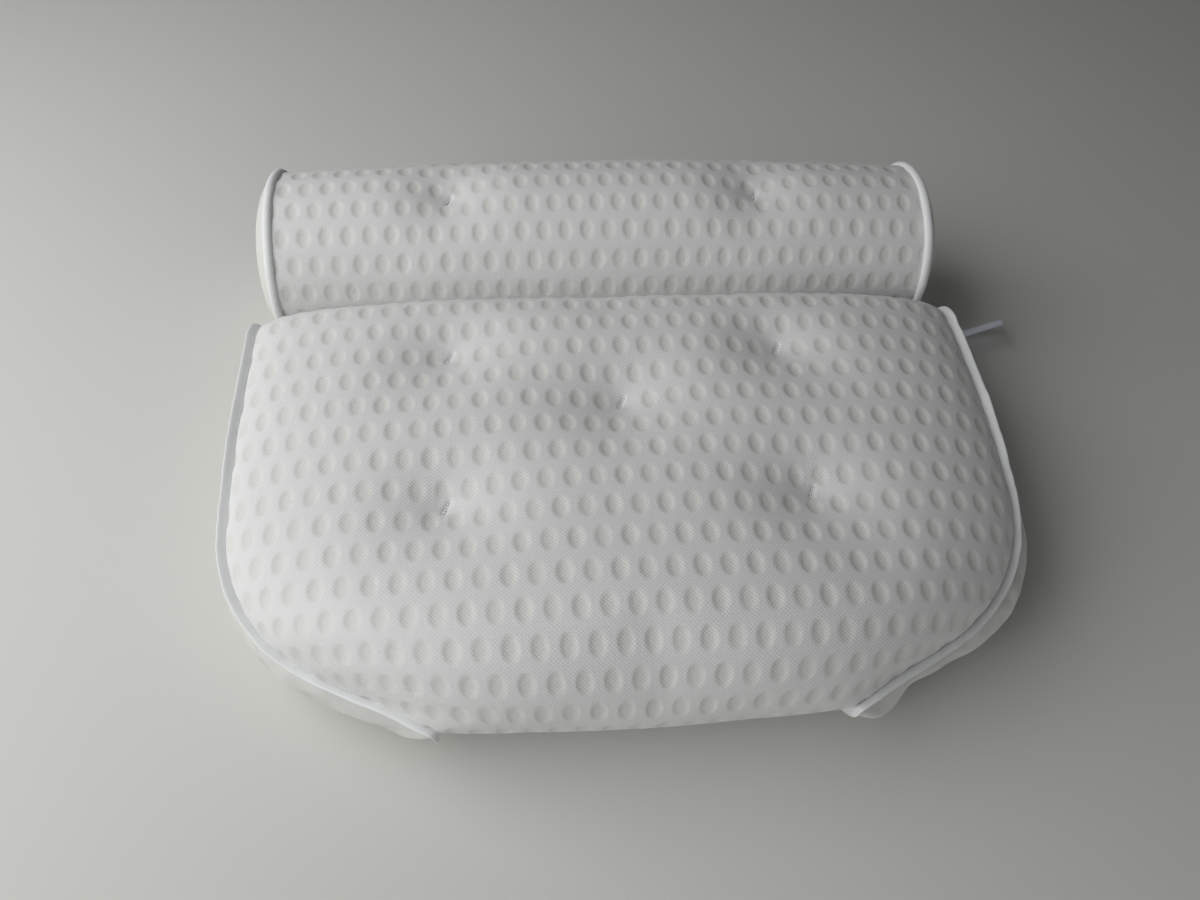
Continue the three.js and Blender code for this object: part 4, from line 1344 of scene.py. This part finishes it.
def turned_piece(name, profile, place, steps):
    """A round piece spun from pairs of radius and height, with its sharp edges rounded."""
    bm = bmesh.new()
    verts = [bm.verts.new((radius, 0, height)) for radius, height in profile]
    edges = [bm.edges.new(pair) for pair in zip(verts, verts[1:])]
    bmesh.ops.spin(
        bm,
        geom=verts + edges,
        cent=(0, 0, 0),
        axis=(0, 0, 1),
        angle=2 * math.pi,
        steps=steps,
        use_merge=True,
    )
    bmesh.ops.remove_doubles(bm, verts=bm.verts, dist=FINE_WELD)
    bmesh.ops.recalc_face_normals(bm, faces=bm.faces)
    sharp = [edge for edge in bm.edges if edge.calc_face_angle(0) > MOULD_EDGE]
    bmesh.ops.bevel(
        bm,
        geom=sharp,
        offset=MOULD_ROUND,
        segments=2,
        profile=0.5,
        affect="EDGES",
        material=-1,
    )
    bmesh.ops.translate(bm, verts=bm.verts, vec=(place.x, place.y, 0))
    return link_mesh(name, bm)


button_plastic = moulded("button_plastic", BUTTON_TONES, roughness=0.35, clearness=0.0)
button_room = HEAD_RADIUS + BORE_GAP
button_shelf = FLANGE_FOOT + BUTTON_WALL
button_lid = BUTTON_TOP - BUTTON_WALL
button_profile = [
    (0, button_lid),
    (button_room, button_lid),
    (button_room, button_shelf),
    (NECK_RADIUS + BORE_GAP, button_shelf),
    (NECK_RADIUS + BORE_GAP, FLANGE_FOOT),
    (FLANGE_RADIUS, FLANGE_FOOT),
    (FLANGE_RADIUS, button_shelf),
    (BUTTON_RADIUS, button_shelf),
    (BUTTON_RADIUS, button_lid),
    (BUTTON_RADIUS - BUTTON_WALL, BUTTON_TOP),
    (0, BUTTON_TOP),
]
TUFT_BODY = {
    **{name: "body" for name in BODY_TUFTS},
    **{name: "roll" for name in ROLL_TUFTS},
}
for name, body in TUFT_BODY.items():
    button = turned_piece(f"button_{name}", button_profile, tuft_place[name], BUTTON_SIDES)
    button.data.materials.append(button_plastic)
    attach(button, body)
    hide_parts(f"cup_button_{name}")

# Seven suction cups of soft clear plastic hold the pillow to a tub. Each is one moulding:
# a thin dome with a flat rim, a neck through the cloth, and a head that snaps into its button.
CUP_RADIUS = 0.024
CUP_RIM = 0.005
CUP_LIP = 0.0012
CUP_HOLLOW = 0.0036
CUP_WALL = 0.002
CUP_STEPS = 9
CUP_SIDES = 56
CUP_SHOULDER = 0.0075
CUP_FILLET = 0.0002
CUP_TONES = ((223, 230, 234), (212, 221, 227))

cup_plastic = moulded("soft_clear_plastic", CUP_TONES, roughness=0.14, clearness=0.55)


def dome(radius, foot, height):
    """Points down a dome from beside its crown to its rim."""
    return [
        (radius * math.sin(angle), foot + (height - foot) * math.cos(angle))
        for angle in np.linspace(0, QUARTER_TURN, CUP_STEPS)[1:]
    ]


cup_crown = CUP_HOLLOW + CUP_WALL
cup_back = dome(CUP_RADIUS, CUP_LIP, cup_crown)[::-1]
cup_profile = [
    (0, CUP_HOLLOW),
    *dome(CUP_RADIUS - CUP_RIM, 0, CUP_HOLLOW),
    (CUP_RADIUS, 0),
    *[point for point in cup_back if point[0] > CUP_SHOULDER],
    (NECK_RADIUS + CUP_WALL, cup_crown + CUP_FILLET),
    (NECK_RADIUS + CUP_WALL / 4, cup_crown + CUP_WALL / 3),
    (NECK_RADIUS, cup_crown + CUP_WALL),
    (NECK_RADIUS, HEAD_FOOT),
    (HEAD_RADIUS, HEAD_FOOT),
    (HEAD_RADIUS, HEAD_FOOT + HEAD_HEIGHT / 2),
    (NECK_RADIUS, HEAD_FOOT + HEAD_HEIGHT),
    (0, HEAD_FOOT + HEAD_HEIGHT),
]
for name in TUFT_BODY:
    cup = turned_piece(f"cup_{name}", cup_profile, tuft_place[name], CUP_SIDES)
    cup.data.materials.append(cup_plastic)
    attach(cup, f"cup_{name}")
    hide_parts(f"suction_cup_{name}")

# Each tuft is tied with a doubled white thread. A short bar of stitches crosses the bottom of
# the dip, and the thread goes down through the padding to a knot on top of the button.
THREAD_RADIUS = 0.0004
STRAND_GAP = 1.7 * THREAD_RADIUS
STRAND_SLANT = 0.12
TWIST_RADIUS = 0.9 * THREAD_RADIUS
TWIST_TURNS = 20
TWIST_STEPS = 160
PLY_PITCH = 0.0009
PLY_RELIEF = 0.0002
STITCH_STRANDS = 2
STITCH_STEPS = 14
STITCH_SINK = 0.0014
STITCH_DIVE = 8
STITCH_SEAT = 0.4 * STITCH_GROOVE
THREAD_SIDES = 8
KNOT_RADIUS = 0.0019
THREAD_TONES = ((244, 244, 241), (231, 231, 227))

thread_finish, thread_tree, thread_shader, thread_place = start_material(
    "tufting_thread", THREAD_TONES, roughness=0.7, blotch=0.004
)
ply = add_node(
    thread_tree,
    "ShaderNodeTexWave",
    {"Vector": thread_place.outputs["UV"], "Scale": band_scale(PLY_PITCH)},
    wave_type="BANDS",
    bands_direction="DIAGONAL",
)
add_relief(thread_tree, thread_shader, ply.outputs["Fac"], PLY_RELIEF, strength=0.7)
thread_shader.inputs["Sheen Weight"].default_value = 0.2


def add_thread(bm, points, radius):
    """Adds a round thread along a run of points, closed at both ends."""
    last = len(points) - 1
    rings = []
    for i, point in enumerate(points):
        along = (points[min(i + 1, last)] - points[max(i - 1, 0)]).normalized()
        side = along.orthogonal().normalized()
        rings.append((point, side, along.cross(side)))

    def place(u, v):
        point, side, up = rings[round(v * last)]
        turn = 2 * math.pi * u
        return point + radius * (side * math.cos(turn) + up * math.sin(turn))

    length = sum((b - a).length for a, b in zip(points, points[1:]))
    ends = add_sheet(
        bm,
        THREAD_SIDES,
        last,
        place,
        lambda u, v: (u * 2 * math.pi * radius, v * length),
    )
    bmesh.ops.remove_doubles(bm, verts=ends, dist=FINE_WELD)
    bmesh.ops.holes_fill(bm, edges=[edge for edge in bm.edges if edge.is_boundary])


def tuft_tie(name, foot):
    """The stitches, the thread and the knot of one tuft."""
    if name in ROLL_TUFTS:
        dip = roll_dips[name]
        dip = roll_point(dip.x, math.pi + (ROLL_Y - dip.y) / ROLL_RADIUS)
    else:
        dip = body_dips[name]
        row = body_row(NOSE_ARC + dip.y - NOSE_Y)
        dip = draw_down(crown_point(row, dip.x / row[1].x))
    bar = Vector((math.cos(STITCH_TURN), math.sin(STITCH_TURN), 0))
    beside = Vector((-bar.y, bar.x, 0))
    bm = bmesh.new()
    for strand in range(STITCH_STRANDS):
        shift = (strand - (STITCH_STRANDS - 1) / 2) * STRAND_GAP
        slant = STRAND_SLANT * (strand % 2 - 0.5)
        points = []
        for share in np.linspace(-1, 1, STITCH_STEPS):
            place = dip + bar * (share * STITCH_BAR / 2)
            place += beside * (shift + slant * share * STITCH_BAR / 2)
            away = (place.xy - dip.xy).length
            lift = TUFT_DEPTH - tuft_dip(away)
            place.z += lift - STITCH_SEAT - STITCH_SINK * share**STITCH_DIVE
            points.append(place)
        add_thread(bm, points, THREAD_RADIUS)
    knot = Vector((*tuft_place[name].xy, foot + KNOT_RADIUS))
    for side in (-1, 1):
        twist = []
        for share in np.linspace(0, 1, TWIST_STEPS):
            turn = 2 * math.pi * TWIST_TURNS * share
            swing = Vector((math.cos(turn), math.sin(turn), 0)) * side * THREAD_RADIUS
            twist.append(knot.lerp(dip, share) + swing)
        add_thread(bm, twist, TWIST_RADIUS)
    bmesh.ops.create_icosphere(
        bm,
        subdivisions=3,
        radius=KNOT_RADIUS,
        matrix=Matrix.Translation(knot),
    )
    bmesh.ops.recalc_face_normals(bm, faces=bm.faces)
    return link_mesh(f"tie_{name}", bm)


for name, body in TUFT_BODY.items():
    tie = tuft_tie(name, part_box(f"tuft_tie_{name}")[0].z)
    tie.data.materials.append(thread_finish)
    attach(tie, body)
    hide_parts(f"tuft_tie_{name}")

# A short loop of white webbing is sewn into the foot of the right back seam. It goes round
# the bar of the hook and back into the seam.
HOOK_TURN = math.radians(18)
HOOK_LEAN = math.radians(123)
HOOK_THICKNESS = 0.0043
EYE_BAR = 0.0034
LOOP_WIDTH = 0.010
LOOP_STRAP = 0.0012
LOOP_LENGTH = 0.014
LOOP_GAP = 0.0003
LOOP_WRAP = math.radians(143)
LOOP_TURN_STEPS = 37
LOOP_WAY_STEPS = 6
LOOP_COLUMNS = 10
WEBBING_TONES = ((236, 237, 234), (224, 225, 222))
WEBBING_WEAVE = 0.0011
WEBBING_RELIEF = 0.0002

webbing = woven(
    "loop_webbing",
    WEBBING_TONES,
    roughness=0.8,
    blotch=0.01,
    pitch=WEBBING_WEAVE,
    turn=BIAS,
    relief=WEBBING_RELIEF,
)
hook_joint = next(joint for joint in frame["joints"] if joint["name"] == "hook_swing")
hook_frame = (
    Matrix.Translation(hook_joint["pos_m"])
    @ Matrix.Rotation(HOOK_TURN, 4, "Z")
    @ Matrix.Rotation(HOOK_LEAN, 4, "X")
)
loop_radius = math.hypot(EYE_BAR, HOOK_THICKNESS) / 2 + LOOP_GAP + LOOP_STRAP / 2
loop_foot = Vector((-LOOP_LENGTH, 0, (LOOP_STRAP + LOOP_GAP) / 2))
loop_turn = [
    Vector((loop_radius * math.cos(angle), 0, loop_radius * math.sin(angle)))
    for angle in np.linspace(LOOP_WRAP, -LOOP_WRAP, LOOP_TURN_STEPS)
]
loop_way = [
    loop_foot.lerp(loop_turn[0], step / LOOP_WAY_STEPS) for step in range(LOOP_WAY_STEPS)
]
loop_path = loop_way + loop_turn + [Vector((p.x, 0, -p.z)) for p in reversed(loop_way)]
loop_length = sum((b - a).length for a, b in zip(loop_path, loop_path[1:]))
loop_last = len(loop_path) - 1


def loop_place(u, v):
    point = loop_path[round(v * loop_last)].copy()
    point.y = lerp(-LOOP_WIDTH / 2, LOOP_WIDTH / 2, u)
    return hook_frame @ point


bm = bmesh.new()
add_sheet(
    bm,
    LOOP_COLUMNS,
    loop_last,
    loop_place,
    lambda u, v: (u * LOOP_WIDTH, v * loop_length),
)
turn_out(bm, Vector(hook_joint["pos_m"]))
loop = link_mesh("hook_loop", bm)
strap = loop.modifiers.new("strap", "SOLIDIFY")
strap.thickness = LOOP_STRAP
strap.offset = 0
edge_round = loop.modifiers.new("edge_round", "BEVEL")
edge_round.width = LOOP_STRAP / 4
edge_round.segments = 2
apply_modifiers(loop)
loop.data.materials.append(webbing)
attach(loop, "body")
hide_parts("hanging_loop")

# The hook is one flat moulding in milky plastic with well rounded edges: a slotted eye on the
# loop, a straight shank, and a bend that opens towards the front.
HOOK_BAR = 0.005
HOOK_LENGTH = 0.060
HOOK_BEND = 0.0085
HOOK_RETURN = 0.014
HOOK_ROUND = 0.0018
EYE_WALL = 0.003
EYE_SLOT = 0.007
EYE_ROOM = 0.0006
EYE_CORNER = 0.004
NECK_CORNER = 0.0015
HOOK_ARC_STEPS = 18
HOOK_TONES = ((236, 239, 250), (228, 232, 246))

hook_plastic = moulded("milky_plastic", HOOK_TONES, roughness=0.3, clearness=0.18)
slot_half = LOOP_WIDTH / 2 + EYE_ROOM
eye_half = slot_half + EYE_WALL
eye_end = EYE_BAR / 2 + EYE_SLOT + EYE_BAR
bar_half = HOOK_BAR / 2
bend_x = HOOK_LENGTH - HOOK_BEND - bar_half
bend_y = -HOOK_BEND


def arc(x, y, radius, start, end):
    """Points round part of a circle, with its angles in degrees."""
    return [
        (x + radius * math.cos(angle), y + radius * math.sin(angle))
        for angle in np.radians(np.linspace(start, end, HOOK_ARC_STEPS))
    ]


hook_outline = [
    *arc(-EYE_BAR / 2 + bar_half, -eye_half + bar_half, bar_half, 180, 270),
    *arc(eye_end - bar_half, -eye_half + EYE_CORNER, EYE_CORNER, 270, 340),
    *arc(eye_end + HOOK_BAR, -bar_half - NECK_CORNER, NECK_CORNER, 120, 90),
    *arc(bend_x, bend_y, HOOK_BEND - bar_half, 90, -90),
    *arc(bend_x - HOOK_RETURN, bend_y - HOOK_BEND, bar_half, 90, 270),
    *arc(bend_x, bend_y, HOOK_BEND + bar_half, -90, 90),
    *arc(eye_end + HOOK_BAR, bar_half + NECK_CORNER, NECK_CORNER, 270, 240),
    *arc(eye_end - bar_half, eye_half - EYE_CORNER, EYE_CORNER, 20, 90),
    *arc(-EYE_BAR / 2 + bar_half, eye_half - bar_half, bar_half, 90, 180),
]
slot_corner = EYE_BAR / 4
slot_outline = [
    *arc(EYE_BAR / 2 + slot_corner, slot_corner - slot_half, slot_corner, 270, 180),
    *arc(EYE_BAR / 2 + slot_corner, slot_half - slot_corner, slot_corner, 180, 90),
    *arc(EYE_BAR / 2 + EYE_SLOT - slot_corner, slot_half - slot_corner, slot_corner, 90, 0),
    *arc(EYE_BAR / 2 + EYE_SLOT - slot_corner, slot_corner - slot_half, slot_corner, 0, -90),
]
drawing = bpy.data.curves.new("hook_drawing", "CURVE")
drawing.dimensions = "2D"
drawing.fill_mode = "BOTH"
drawing.extrude = HOOK_THICKNESS / 2 - HOOK_ROUND
drawing.bevel_depth = HOOK_ROUND
drawing.bevel_resolution = 4
drawing.offset = -HOOK_ROUND
for outline in (hook_outline, slot_outline):
    spline = drawing.splines.new("POLY")
    spline.points.add(len(outline) - 1)
    for knot, (x, y) in zip(spline.points, outline):
        knot.co = (x, y, 0, 1)
    spline.use_cyclic_u = True
pattern = bpy.data.objects.new("hook_pattern", drawing)
scene.collection.objects.link(pattern)
moulding = bpy.data.meshes.new_from_object(
    pattern.evaluated_get(bpy.context.evaluated_depsgraph_get())
)
bpy.data.curves.remove(drawing)
bm = bmesh.new()
bm.from_mesh(moulding)
bmesh.ops.remove_doubles(bm, verts=bm.verts, dist=FINE_WELD)
bmesh.ops.recalc_face_normals(bm, faces=bm.faces)
bmesh.ops.transform(bm, matrix=hook_frame, verts=bm.verts)
hook = link_mesh("hook", bm)
hook.data.materials.append(hook_plastic)
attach(hook, "hook")
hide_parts("drying_hook")
